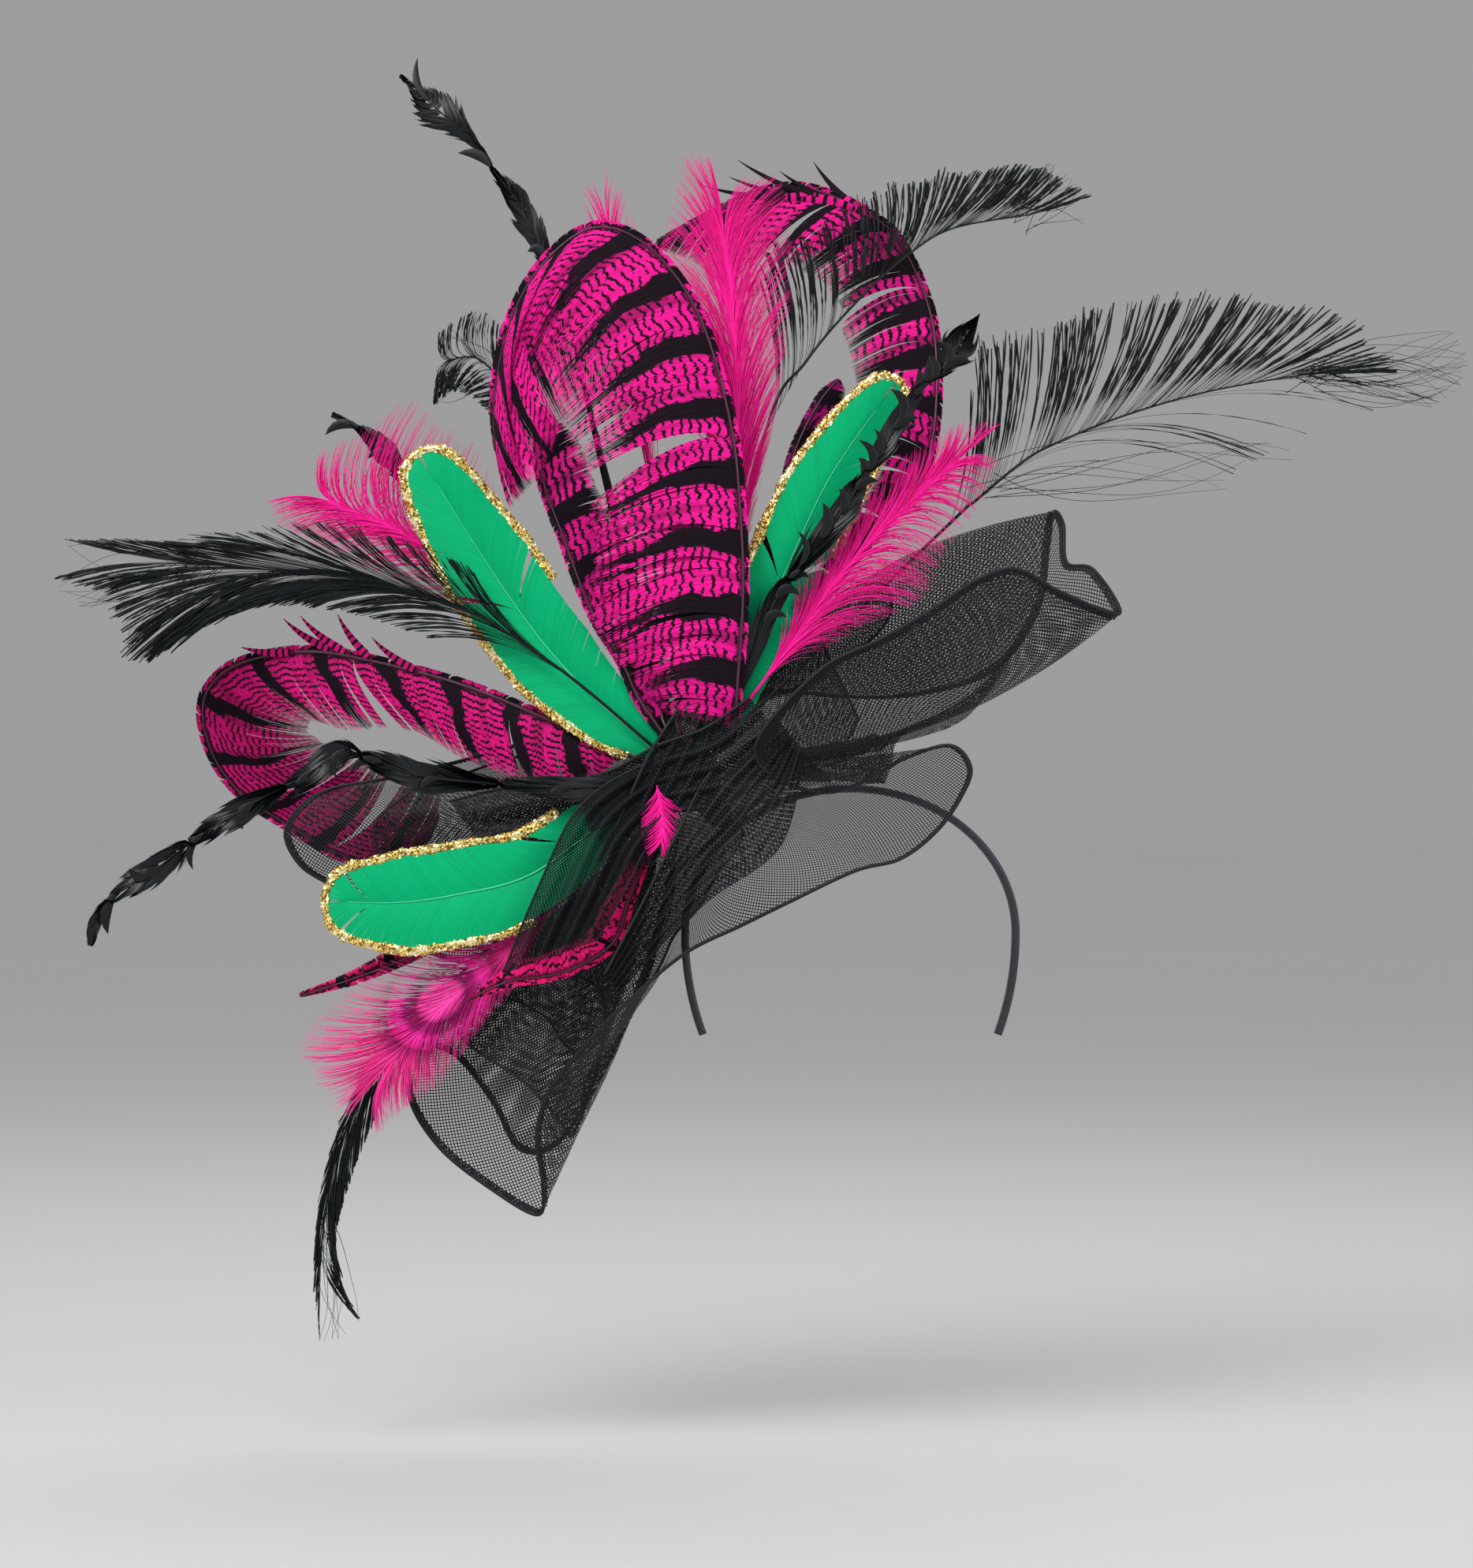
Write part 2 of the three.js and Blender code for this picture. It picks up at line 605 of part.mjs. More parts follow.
// Peacock plumes and swords. The shaft, then the tips of the locks on its left and on its right
const routeColumns = ['right', 'up'];
const plumes = [
  {
    name: 'plume_top', lean: -0.045, turn: 84, shaftWidth: plumeShaftWidth, lockWidth: 7,
    shaft: [[0.052, 0.160], [0.062, 0.300], [0.066, 0.450], [0.060, 0.580], [0.050, 0.680]],
    left: [
      [0, 0.480], [-0.020, 0.560], [-0.030, 0.640], [-0.028, 0.690], [-0.014, 0.745], [0, 0.790],
      [0.028, 0.800],
    ],
    right: [
      [0.105, 0.420], [0.120, 0.500], [0.130, 0.580], [0.134, 0.660], [0.132, 0.720], [0.115, 0.765],
      [0.075, 0.770],
    ],
  },
  {
    name: 'plume_wisp', lean: -0.095, turn: 98, shaftWidth: plumeShaftWidth, lockWidth: 4,
    shaft: [[-0.020, 0.200], [-0.060, 0.480], [-0.085, 0.620], [-0.100, 0.700]],
    left: [[-0.110, 0.660], [-0.128, 0.715], [-0.134, 0.754], [-0.122, 0.772]],
    right: [[-0.045, 0.660], [-0.060, 0.700], [-0.078, 0.745], [-0.104, 0.785]],
  },
  {
    name: 'plume_left', lean: -0.03, turn: 134, shaftWidth: plumeShaftWidth, lockWidth: 8,
    shaft: [[-0.160, 0.150], [-0.270, 0.250], [-0.360, 0.310], [-0.450, 0.350]],
    left: [
      [-0.300, 0.215], [-0.380, 0.255], [-0.450, 0.282],
      [-0.495, 0.305], [-0.522, 0.328], [-0.534, 0.352],
    ],
    right: [
      [-0.232, 0.330], [-0.262, 0.411], [-0.306, 0.440],
      [-0.350, 0.478], [-0.420, 0.440], [-0.472, 0.411],
    ],
  },
  {
    name: 'plume_right', lean: 0.022, turn: 51, shaftWidth: plumeShaftWidth, lockWidth: 8,
    shaft: [[0.080, 0.098], [0.135, 0.172], [0.200, 0.262], [0.270, 0.335], [0.330, 0.390]],
    left: [[0.140, 0.250], [0.190, 0.320], [0.245, 0.380], [0.300, 0.420], [0.350, 0.450], [0.398, 0.448]],
    right: [[0.225, 0.195], [0.288, 0.217], [0.312, 0.255], [0.335, 0.295], [0.370, 0.345], [0.395, 0.400]],
  },
  {
    name: 'plume_eye', lean: 0.075, turn: 219, shaftWidth: plumeShaftWidth, lockWidth: 9,
    shaft: [[-0.150, -0.145], [-0.223, -0.220], [-0.300, -0.285], [-0.360, -0.345]],
    left: [
      [-0.215, -0.265], [-0.262, -0.320], [-0.300, -0.375],
      [-0.335, -0.400], [-0.364, -0.425], [-0.391, -0.450],
    ],
    right: [
      [-0.290, -0.200], [-0.380, -0.235], [-0.450, -0.290],
      [-0.480, -0.338], [-0.462, -0.385], [-0.425, -0.430],
    ],
  },
];

const tuft = {
  name: 'heart_tuft', lean: 0.19, turn: 248, shaftWidth: plumeShaftWidth, lockWidth: 4,
  shaft: [[-0.021, -0.055], [-0.030, -0.080]],
  left: [[-0.013, -0.085], [-0.020, -0.097], [-0.028, -0.104]],
  right: [[-0.052, -0.070], [-0.054, -0.085], [-0.046, -0.098]],
};

const swords = [
  {
    name: 'sword_top', lean: -0.115, turn: 76, shaftWidth: swordShaftWidth, lockWidth: 4.5,
    shaft: [[0.100, 0.440], [0.154, 0.536], [0.220, 0.615], [0.287, 0.677], [0.345, 0.712], [0.444, 0.731]],
    left: [
      [0.108, 0.640], [0.120, 0.685], [0.160, 0.700], [0.200, 0.725], [0.245, 0.758], [0.290, 0.770],
      [0.345, 0.786], [0.395, 0.792], [0.440, 0.795], [0.480, 0.785], [0.527, 0.757],
    ],
    right: [],
  },
  {
    name: 'sword_right', lean: -0.03, turn: 44, shaftWidth: swordShaftWidth, lockWidth: 5,
    shaft: [
      [0.330, 0.318], [0.367, 0.351], [0.431, 0.404], [0.477, 0.429], [0.555, 0.461], [0.646, 0.489],
      [0.720, 0.505], [0.810, 0.520],
    ],
    left: [
      [0.375, 0.480], [0.392, 0.543], [0.430, 0.566], [0.475, 0.572], [0.518, 0.585], [0.573, 0.603],
      [0.642, 0.608], [0.720, 0.610], [0.784, 0.603], [0.848, 0.592], [0.905, 0.555], [1.000, 0.515],
    ],
    right: [
      [0.560, 0.368], [0.665, 0.369], [0.690, 0.384], [0.729, 0.407], [0.765, 0.423], [0.800, 0.440],
      [0.840, 0.455], [0.870, 0.470], [0.905, 0.475], [0.935, 0.480], [0.965, 0.485], [0.995, 0.495],
    ],
  },
  {
    name: 'sword_left', lean: 0.085, turn: 137, shaftWidth: swordShaftWidth, lockWidth: 5,
    shaft: [
      [-0.140, 0.122], [-0.231, 0.186], [-0.277, 0.209], [-0.340, 0.232], [-0.405, 0.249], [-0.600, 0.268],
    ],
    left: [
      [-0.300, 0.155], [-0.390, 0.165], [-0.470, 0.165], [-0.540, 0.150], [-0.600, 0.130], [-0.665, 0.145],
      [-0.725, 0.185], [-0.793, 0.228],
    ],
    right: [
      [-0.250, 0.235], [-0.310, 0.262], [-0.380, 0.288], [-0.450, 0.304], [-0.530, 0.310], [-0.600, 0.306],
      [-0.690, 0.302], [-0.778, 0.299],
    ],
  },
  {
    name: 'sword_back', lean: -0.065, turn: 116, shaftWidth: swordShaftWidth, lockWidth: 5,
    shaft: [[-0.150, 0.340], [-0.215, 0.475], [-0.265, 0.535], [-0.305, 0.535]],
    left: [[-0.225, 0.420], [-0.270, 0.480], [-0.300, 0.490], [-0.320, 0.476]],
    right: [[-0.195, 0.500], [-0.235, 0.575], [-0.275, 0.598], [-0.318, 0.570]],
  },
  {
    name: 'sword_hanging', lean: 0.012, turn: 213, shaftWidth: swordShaftWidth, lockWidth: 4.5,
    shaft: [[-0.330, -0.290], [-0.385, -0.355], [-0.420, -0.420], [-0.450, -0.500], [-0.465, -0.600]],
    left: [[-0.380, -0.430], [-0.412, -0.510], [-0.432, -0.590], [-0.428, -0.650], [-0.415, -0.688]],
    right: [[-0.446, -0.390], [-0.482, -0.470], [-0.500, -0.560], [-0.498, -0.640], [-0.466, -0.720]],
  },
];

// Curled satin feathers: a blade that turns round its own stem. Each row: the stem and the blade width
const twistColumns = ['right', 'up', 'wide'];
const twists = [
  {
    name: 'twist_top', lean: -0.035, turn: 106, turns: 3,
    rows: [
      [-0.035, 0.120, 3], [-0.095, 0.350, 3], [-0.155, 0.600, 3], [-0.183, 0.670, 6], [-0.215, 0.735, 10],
      [-0.245, 0.775, 6], [-0.275, 0.817, 4], [-0.320, 0.858, 16], [-0.345, 0.882, 11], [-0.369, 0.904, 1.5],
    ],
  },
  {
    name: 'twist_right', lean: 0.06, turn: 62, turns: 4,
    rows: [
      [0.055, 0.090, 4], [0.112, 0.221, 12], [0.140, 0.262, 13], [0.200, 0.340, 13], [0.222, 0.375, 9],
      [0.243, 0.405, 11], [0.274, 0.457, 8], [0.299, 0.494, 7], [0.325, 0.515, 7], [0.347, 0.548, 16],
      [0.371, 0.585, 1.5],
    ],
  },
  {
    name: 'twist_left', lean: -0.058, turn: 125, turns: 2,
    rows: [
      [-0.070, 0.090, 3], [-0.220, 0.240, 3], [-0.347, 0.369, 6], [-0.389, 0.419, 10], [-0.422, 0.448, 7],
      [-0.455, 0.465, 1.5],
    ],
  },
  {
    name: 'twist_braid', lean: 0.2, turn: 178, turns: 6,
    rows: [
      [-0.070, -0.006, 7], [-0.132, -0.013, 14], [-0.250, -0.007, 17], [-0.336, 0.003, 15],
      [-0.399, 0.026, 13], [-0.432, 0.030, 13], [-0.470, 0.004, 13], [-0.527, -0.026, 14],
      [-0.580, -0.058, 12], [-0.622, -0.087, 16], [-0.665, -0.120, 14], [-0.708, -0.148, 12],
      [-0.730, -0.178, 7], [-0.737, -0.209, 1.5],
    ],
  },
];

function twisted(row) {
  const root = rootRow(row.turn, sprayReach);
  const spine = curve(twistColumns, [[root[0], root[1], quillWidth], ...row.rows], 3);
  const rings = spine.map((spot, index) => {
    const share = index / (spine.length - 1);
    const [right, up] = across(spine, index);
    const spin = Math.max(0, share - plainStem) * row.turns * Math.PI;
    const half = spot.wide / 2;
    const thin = Math.max(edgeThickness, ridgeThickness * (1 - share)) / 2;
    return [[1, 1], [-1, 1], [-1, -1], [1, -1]].map(([blade, face]) => {
      const wide = blade * half * Math.cos(spin) - face * thin * Math.sin(spin);
      const deep = (blade * half * Math.sin(spin) * twistFlat) + face * thin * Math.cos(spin);
      const shift = wide / sprayReach;
      const middle = onCone(row.lean, spot.right + right * shift, spot.up + up * shift);
      return middle.setY(middle.y + deep);
    });
  });
  return loft(rings);
}

// Crinoline brim. Each row: a point of the rim, the angle and depth at which it is gathered on the
// drum, and how far the cloth between them bellies sideways, outward and to the front
const brimColumns = ['right', 'up', 'front', 'turn', 'gather', 'side', 'out', 'bow'];
const brimRows = [
  [-0.188, -0.553, 0.040, 256, 0.020, 0.010, 0.000, -0.010],
  [-0.180, -0.515, 0.060, 261, 0.030, 0.030, 0.010, -0.020],
  [-0.187, -0.450, 0.080, 265, 0.034, 0.070, 0.050, -0.030],
  [-0.168, -0.388, 0.095, 269, 0.034, 0.100, 0.065, -0.035],
  [-0.114, -0.322, 0.105, 273, 0.034, 0.090, 0.055, -0.030],
  [-0.064, -0.272, 0.110, 278, 0.034, 0.055, 0.040, -0.020],
  [0.002, -0.218, 0.115, 286, 0.034, 0.020, 0.020, 0.000],
  [0.070, -0.184, 0.135, 294, 0.034, 0.000, 0.010, 0.015],
  [0.130, -0.154, 0.155, 302, 0.034, 0.000, 0.010, 0.020],
  [0.210, -0.116, 0.162, 314, 0.034, 0.000, 0.010, 0.020],
  [0.267, -0.101, 0.155, 323, 0.034, 0.000, 0.010, 0.020],
  [0.313, -0.067, 0.125, 332, 0.034, 0.000, 0.010, 0.015],
  [0.345, -0.025, 0.085, 339, 0.034, 0.000, 0.005, 0.005],
  [0.359, 0.012, 0.050, 345, 0.034, 0.000, 0.000, 0.000],
  [0.335, 0.040, 0.020, 350, 0.034, 0.000, 0.000, -0.010],
  [0.280, 0.025, 0.015, 354, 0.034, 0.010, 0.020, -0.020],
  [0.225, -0.005, 0.030, 357, 0.034, 0.030, 0.070, -0.030],
  [0.180, -0.019, 0.050, 360, 0.034, 0.030, 0.120, -0.040],
  [0.130, -0.010, 0.070, 363, 0.034, 0.010, 0.160, -0.050],
  [0.091, 0.019, 0.085, 366, 0.034, -0.040, 0.185, -0.060],
  [0.098, 0.060, 0.100, 369, 0.034, -0.090, 0.180, -0.065],
  [0.171, 0.136, 0.105, 373, 0.034, -0.130, 0.165, -0.065],
  [0.243, 0.172, 0.100, 376, 0.034, -0.135, 0.160, -0.060],
  [0.305, 0.208, 0.090, 378, 0.030, -0.125, 0.150, -0.055],
  [0.366, 0.248, 0.075, 380, 0.024, -0.120, 0.120, -0.050],
  [0.416, 0.262, 0.060, 381, 0.016, -0.100, 0.080, -0.040],
  [0.474, 0.234, 0.035, 382, 0.008, -0.070, 0.030, -0.035],
  [0.551, 0.208, 0.000, 384, -0.004, -0.050, 0.000, -0.030],
  [0.520, 0.265, -0.025, 386, -0.012, -0.050, 0.000, -0.030],
  [0.487, 0.275, -0.045, 388, -0.020, -0.030, 0.010, -0.030],
  [0.484, 0.325, -0.065, 390, -0.026, 0.020, 0.020, -0.035],
  [0.473, 0.342, -0.085, 392, -0.030, 0.060, 0.030, -0.035],
  [0.468, 0.300, -0.110, 395, -0.034, 0.090, 0.040, -0.035],
  [0.455, 0.215, -0.130, 398, -0.036, 0.110, 0.050, -0.040],
  [0.400, 0.140, -0.155, 402, -0.037, 0.100, 0.040, -0.040],
  [0.310, 0.110, -0.175, 407, -0.038, 0.070, 0.020, -0.040],
  [0.220, 0.105, -0.190, 416, -0.038, 0.040, 0.000, -0.020],
  [0.100, 0.115, -0.200, 435, -0.037, 0.000, 0.000, -0.010],
  [-0.020, 0.110, -0.185, 460, -0.034, 0.000, 0.000, 0.000],
  [-0.140, 0.070, -0.160, 490, -0.034, 0.000, 0.000, 0.000],
  [-0.260, 0.030, -0.120, 512, -0.034, 0.000, 0.000, 0.000],
  [-0.380, 0.000, -0.080, 526, -0.034, 0.000, 0.000, 0.000],
  [-0.470, -0.020, -0.055, 536, -0.032, 0.000, 0.000, 0.000],
  [-0.513, -0.065, -0.045, 544, -0.030, 0.000, 0.000, 0.005],
  [-0.495, -0.112, -0.045, 550, -0.028, 0.000, 0.000, 0.010],
  [-0.444, -0.146, -0.050, 557, -0.028, 0.000, 0.000, 0.005],
  [-0.385, -0.200, -0.065, 564, -0.030, 0.000, 0.000, 0.000],
  [-0.290, -0.238, -0.085, 572, -0.032, 0.000, 0.010, -0.010],
  [-0.190, -0.245, -0.100, 580, -0.034, 0.010, 0.030, -0.015],
  [-0.110, -0.280, -0.105, 586, -0.034, 0.020, 0.030, -0.015],
  [-0.120, -0.390, -0.095, 590, -0.032, 0.010, 0.000, -0.010],
  [-0.165, -0.470, -0.082, 594, -0.028, 0.000, 0.000, -0.005],
  [-0.215, -0.478, -0.070, 597, -0.024, 0.000, 0.000, 0.000],
  [-0.250, -0.415, -0.058, 600, -0.020, 0.000, 0.000, 0.000],
  [-0.300, -0.353, -0.044, 603, -0.014, 0.000, 0.000, 0.000],
  [-0.350, -0.350, -0.024, 606, -0.008, 0.000, 0.000, 0.000],
  [-0.352, -0.410, -0.008, 609, 0.000, 0.000, 0.000, 0.000],
  [-0.313, -0.471, 0.006, 612, 0.008, 0.000, 0.000, 0.000],
  [-0.250, -0.520, 0.020, 614, 0.014, 0.000, 0.000, 0.000],
];

// The cloth at one rim point, at a share of the way from the drum to the rim
function clothPoint(row, share) {
  const [rootRight, rootUp] = rootRow(row.turn, brimReach, seatGap);
  const length = Math.hypot(row.right, row.up);
  const [right, up] = [row.right / length, row.up / length];
  const belly = 4 * share * (1 - share);
  return place(
    mix(rootRight, row.right, share) + belly * (row.out * right - row.side * up),
    mix(rootUp, row.up, share) + belly * (row.out * up + row.side * right),
    mix(row.gather, row.front, share) + belly * row.bow,
    brimReach,
  );
}

function brim() {
  const rim = curve(brimColumns, brimRows, 2, true);
  const cordShare = 1 - rimCord / ruffleLength;
  const shares = [0, 0.25, 0.5, 0.75, cordShare, 1];
  const walls = [crinWall, crinWall, crinWall, crinWall, rimCord, rimCord];
  return shell(rim.map((row) => shares.map((share) => clothPoint(row, share))), walls, true);
}

// Pleated strips over the drum. Each row: one edge, the other edge, and the depth between them
const stripColumns = ['right', 'up', 'farRight', 'farUp', 'front'];
const drumFront = (hubLength / 2 + seatGap + crinWall / 2) / sprayReach;
const strips = [
  {
    name: 'crin_fold_left', pleats: 2,
    rows: [
      [-0.047, 0.008, -0.047, -0.014, 0.008],
      [-0.130, -0.004, -0.100, -0.060, 0.008],
      [-0.220, -0.012, -0.170, -0.095, 0.010],
      [-0.300, -0.030, -0.255, -0.090, 0.012],
    ],
  },
  {
    name: 'crin_fold_down', pleats: 4,
    rows: [
      [0.010, 0.020, 0.020, -0.020, drumFront],
      [-0.060, 0.012, -0.010, -0.040, drumFront + 0.012],
      [-0.135, -0.040, -0.050, -0.090, 0.075],
      [-0.185, -0.140, -0.080, -0.150, 0.088],
      [-0.228, -0.245, -0.112, -0.205, 0.096],
    ],
  },
];

function strip(row) {
  const columns = row.pleats * 2 + 1;
  const run = curve(stripColumns, row.rows, 2);
  const grid = run.map((spot, index) => Array.from({ length: columns }, (_, k) => {
    const share = k / (columns - 1);
    const wave = (k % 2) * Math.min(1, index / pleatRows) * (pleatDepth / sprayReach);
    const [right, up] = [mix(spot.right, spot.farRight, share), mix(spot.up, spot.farUp, share)];
    return place(right, up, spot.front + wave, sprayReach);
  }));
  return shell(grid, Array(columns).fill(crinWall));
}

add('headband', headband(), 'satin');
const baseTop = baseFoot.clone().addScaledVector(baseNormal, baseThickness);
add('base_disc', drum(baseFoot, baseTop, baseRadius, baseSides), 'felt');
add('stem_binding', stemBinding(), 'felt');
add('brim', brim(), 'crinoline');
strips.forEach((row) => add(row.name, strip(row), 'crinoline'));
pheasants.forEach((row) => add(row.name, pheasant(row), row.look));
geese.forEach((row) => {
  add(`green_${row.name}`, gooseVane(row), 'green');
  add(`gold_${row.name}`, goldEdge(row), 'gold');
});
plumes.forEach((row) => add(row.name, comb(row), 'pink'));
add(tuft.name, comb(tuft), 'pink');
swords.forEach((row) => add(row.name, comb(row), 'black'));
twists.forEach((row) => add(row.name, twisted(row), 'black'));

export default part;
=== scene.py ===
"""Headband fascinator: satin band, crinoline brim and a spray of dyed feathers.

Metres, in the part's own frame: +Z up, -Y to the front, the origin at the inner top of the band.
"""

import math

import bpy
import numpy as np
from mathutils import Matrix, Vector


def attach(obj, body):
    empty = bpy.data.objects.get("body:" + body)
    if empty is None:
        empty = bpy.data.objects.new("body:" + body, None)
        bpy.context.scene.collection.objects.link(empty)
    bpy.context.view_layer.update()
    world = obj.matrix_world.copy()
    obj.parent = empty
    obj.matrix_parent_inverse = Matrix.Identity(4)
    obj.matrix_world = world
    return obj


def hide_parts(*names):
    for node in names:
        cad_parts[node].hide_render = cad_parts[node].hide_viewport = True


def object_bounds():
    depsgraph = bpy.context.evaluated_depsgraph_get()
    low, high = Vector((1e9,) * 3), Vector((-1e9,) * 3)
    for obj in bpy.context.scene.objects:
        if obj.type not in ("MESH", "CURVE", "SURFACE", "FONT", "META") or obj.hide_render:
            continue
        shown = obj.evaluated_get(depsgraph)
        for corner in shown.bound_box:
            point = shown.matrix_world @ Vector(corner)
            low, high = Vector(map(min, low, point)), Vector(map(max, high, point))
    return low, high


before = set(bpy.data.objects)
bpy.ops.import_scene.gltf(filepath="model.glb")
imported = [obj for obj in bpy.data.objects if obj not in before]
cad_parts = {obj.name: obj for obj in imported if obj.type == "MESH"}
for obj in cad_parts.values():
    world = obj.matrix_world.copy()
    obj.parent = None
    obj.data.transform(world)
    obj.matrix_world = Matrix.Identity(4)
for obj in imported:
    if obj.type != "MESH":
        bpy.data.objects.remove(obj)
cad_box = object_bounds()

MM = 0.001

# Headband, base and bound stems, as in the part's source
BAND_HALF_WIDTH = 84.8 * MM
BAND_CROWN_HEIGHT = 74 * MM
BAND_LEG_RUN = 52 * MM
BAND_LEG_CURVE = 115 * MM
BAND_THICKNESS = 4 * MM
BAND_WIDTH = 9.5 * MM
SEAT_GAP = 0.3 * MM
BASE_TURN = math.radians(45)
BASE_RADIUS = 38 * MM
BASE_THICKNESS = 2.5 * MM
STALK_RISE = 31.4 * MM
STALK_RADIUS = 7 * MM
HUB_FORWARD = 30 * MM
HUB_RADIUS = 18 * MM
HUB_LENGTH = 33 * MM
HUB_SIDES = 24

# The spray: tables hold shares of this reach, to the right and up from the middle of the stems
REACH = 400 * MM
SPRAY_DEPTH = 48 * MM
SWEEP_BACK = 0.06
CRIN_WALL = 1.3 * MM
TWIST_FLAT = 0.45
PLAIN_STEM = 0.12
LOCK_SWEEP = 0.38
PLEAT_DEPTH = 5 * MM
PLEAT_ROWS = 3
DRUM_FRONT = (HUB_LENGTH / 2 + SEAT_GAP + CRIN_WALL / 2) / REACH

# Each row: the spine, the tips of its barbs, and how far forward both stand
PHEASANTS = [
  dict(
    name="pheasant_main", look="pheasant", lean=0.1, turn=40, side=-1,
    rows=[
      [0.059, 0.050, 0.054, 0.052, 0], [0.066, 0.130, -0.030, 0.100, 0], [0.072, 0.230, -0.098, 0.190, 0],
      [0.069, 0.326, -0.100, 0.290, 0], [0.057, 0.442, -0.070, 0.400, 0], [0.017, 0.580, -0.085, 0.470, 0],
      [-0.046, 0.666, -0.110, 0.485, 0], [-0.115, 0.691, -0.132, 0.490, 0],
      [-0.180, 0.645, -0.150, 0.470, 0], [-0.221, 0.572, -0.168, 0.430, 0],
      [-0.241, 0.480, -0.190, 0.385, 0], [-0.240, 0.410, -0.225, 0.345, 0],
    ],
  ),
  dict(
    name="pheasant_inner", look="pheasant", lean=0.055, turn=116, side=1,
    rows=[
      [-0.036, 0.065, -0.032, 0.067, 0], [-0.061, 0.102, -0.020, 0.125, 0],
      [-0.083, 0.150, -0.030, 0.190, 0], [-0.121, 0.214, -0.070, 0.260, 0],
      [-0.156, 0.306, -0.100, 0.335, 0], [-0.182, 0.380, -0.135, 0.420, 0],
      [-0.192, 0.465, -0.178, 0.470, 0],
    ],
  ),
  dict(
    name="pheasant_right", look="pheasant", lean=-0.15, turn=56, side=-1,
    rows=[
      [0.060, 0.085, 0.056, 0.088, 0], [0.180, 0.240, 0.165, 0.250, 0], [0.290, 0.370, 0.255, 0.385, 0],
      [0.316, 0.432, 0.258, 0.455, 0], [0.323, 0.511, 0.248, 0.503, 0], [0.318, 0.590, 0.234, 0.565, 0],
      [0.295, 0.660, 0.215, 0.630, 0], [0.262, 0.714, 0.175, 0.672, 0], [0.195, 0.755, 0.118, 0.690, 0],
      [0.129, 0.768, 0.060, 0.680, 0], [0.054, 0.745, 0.010, 0.690, 0], [-0.040, 0.697, -0.043, 0.690, 0],
    ],
  ),
  dict(
    name="pheasant_dark", look="pheasant", lean=-0.07, turn=70, side=1,
    rows=[
      [0.028, 0.078, 0.032, 0.076, 0], [0.075, 0.220, 0.090, 0.215, 0], [0.115, 0.330, 0.165, 0.320, 0],
      [0.140, 0.420, 0.195, 0.420, 0], [0.170, 0.480, 0.205, 0.480, 0], [0.194, 0.510, 0.198, 0.508, 0],
    ],
  ),
  dict(
    name="pheasant_left", look="pheasant", lean=-0.018, turn=160, side=-1,
    rows=[
      [-0.080, 0.030, -0.079, 0.025, 0], [-0.150, 0.062, -0.145, 0.002, 0],
      [-0.281, 0.116, -0.265, 0.035, 0], [-0.405, 0.149, -0.365, 0.080, 0],
      [-0.480, 0.160, -0.440, 0.084, 0], [-0.550, 0.152, -0.490, 0.090, -0.015],
      [-0.596, 0.133, -0.510, 0.080, -0.035], [-0.623, 0.095, -0.512, 0.062, -0.060],
      [-0.616, 0.035, -0.498, 0.040, -0.090], [-0.580, -0.020, -0.475, 0.020, -0.115],
      [-0.513, -0.066, -0.430, -0.005, -0.140], [-0.455, -0.100, -0.385, -0.020, -0.150],
      [-0.390, -0.112, -0.340, -0.035, -0.150], [-0.332, -0.075, -0.325, -0.060, -0.150],
    ],
  ),
  dict(
    name="pheasant_low", look="crimson", lean=0.16, turn=238, side=1,
    rows=[
      [-0.040, -0.068, -0.044, -0.066, 0], [-0.070, -0.150, -0.100, -0.150, 0],
      [-0.093, -0.210, -0.125, -0.195, 0], [-0.155, -0.245, -0.160, -0.215, 0],
      [-0.222, -0.256, -0.220, -0.235, 0], [-0.271, -0.278, -0.268, -0.274, 0],
    ],
  ),
  dict(
    name="pheasant_sliver", look="crimson", lean=-0.012, turn=204, side=1,
    rows=[
      [-0.073, -0.036, -0.074, -0.031, 0], [-0.200, -0.130, -0.215, -0.095, 0],
      [-0.300, -0.200, -0.330, -0.150, 0], [-0.380, -0.240, -0.390, -0.225, 0],
      [-0.492, -0.279, -0.493, -0.274, 0],
    ],
  ),
]

# Each row: the spine. The gold runs from one step of the outline to another
GEESE = [
  dict(
    name="left", lean=0.015, turn=142, halfWidth=22, goldFrom=11, goldTo=7,
    rows=[[-0.064, 0.055], [-0.129, 0.112], [-0.196, 0.189], [-0.267, 0.293], [-0.338, 0.408]],
  ),
  dict(
    name="right", lean=-0.005, turn=63, halfWidth=18, goldFrom=10, goldTo=7,
    rows=[[0.044, 0.072], [0.086, 0.168], [0.128, 0.265], [0.185, 0.385], [0.267, 0.502]],
  ),
  dict(
    name="low", lean=0.12, turn=196, halfWidth=23, goldFrom=9, goldTo=10,
    rows=[[-0.078, -0.035], [-0.190, -0.120], [-0.290, -0.148], [-0.370, -0.158], [-0.449, -0.155]],
  ),
]

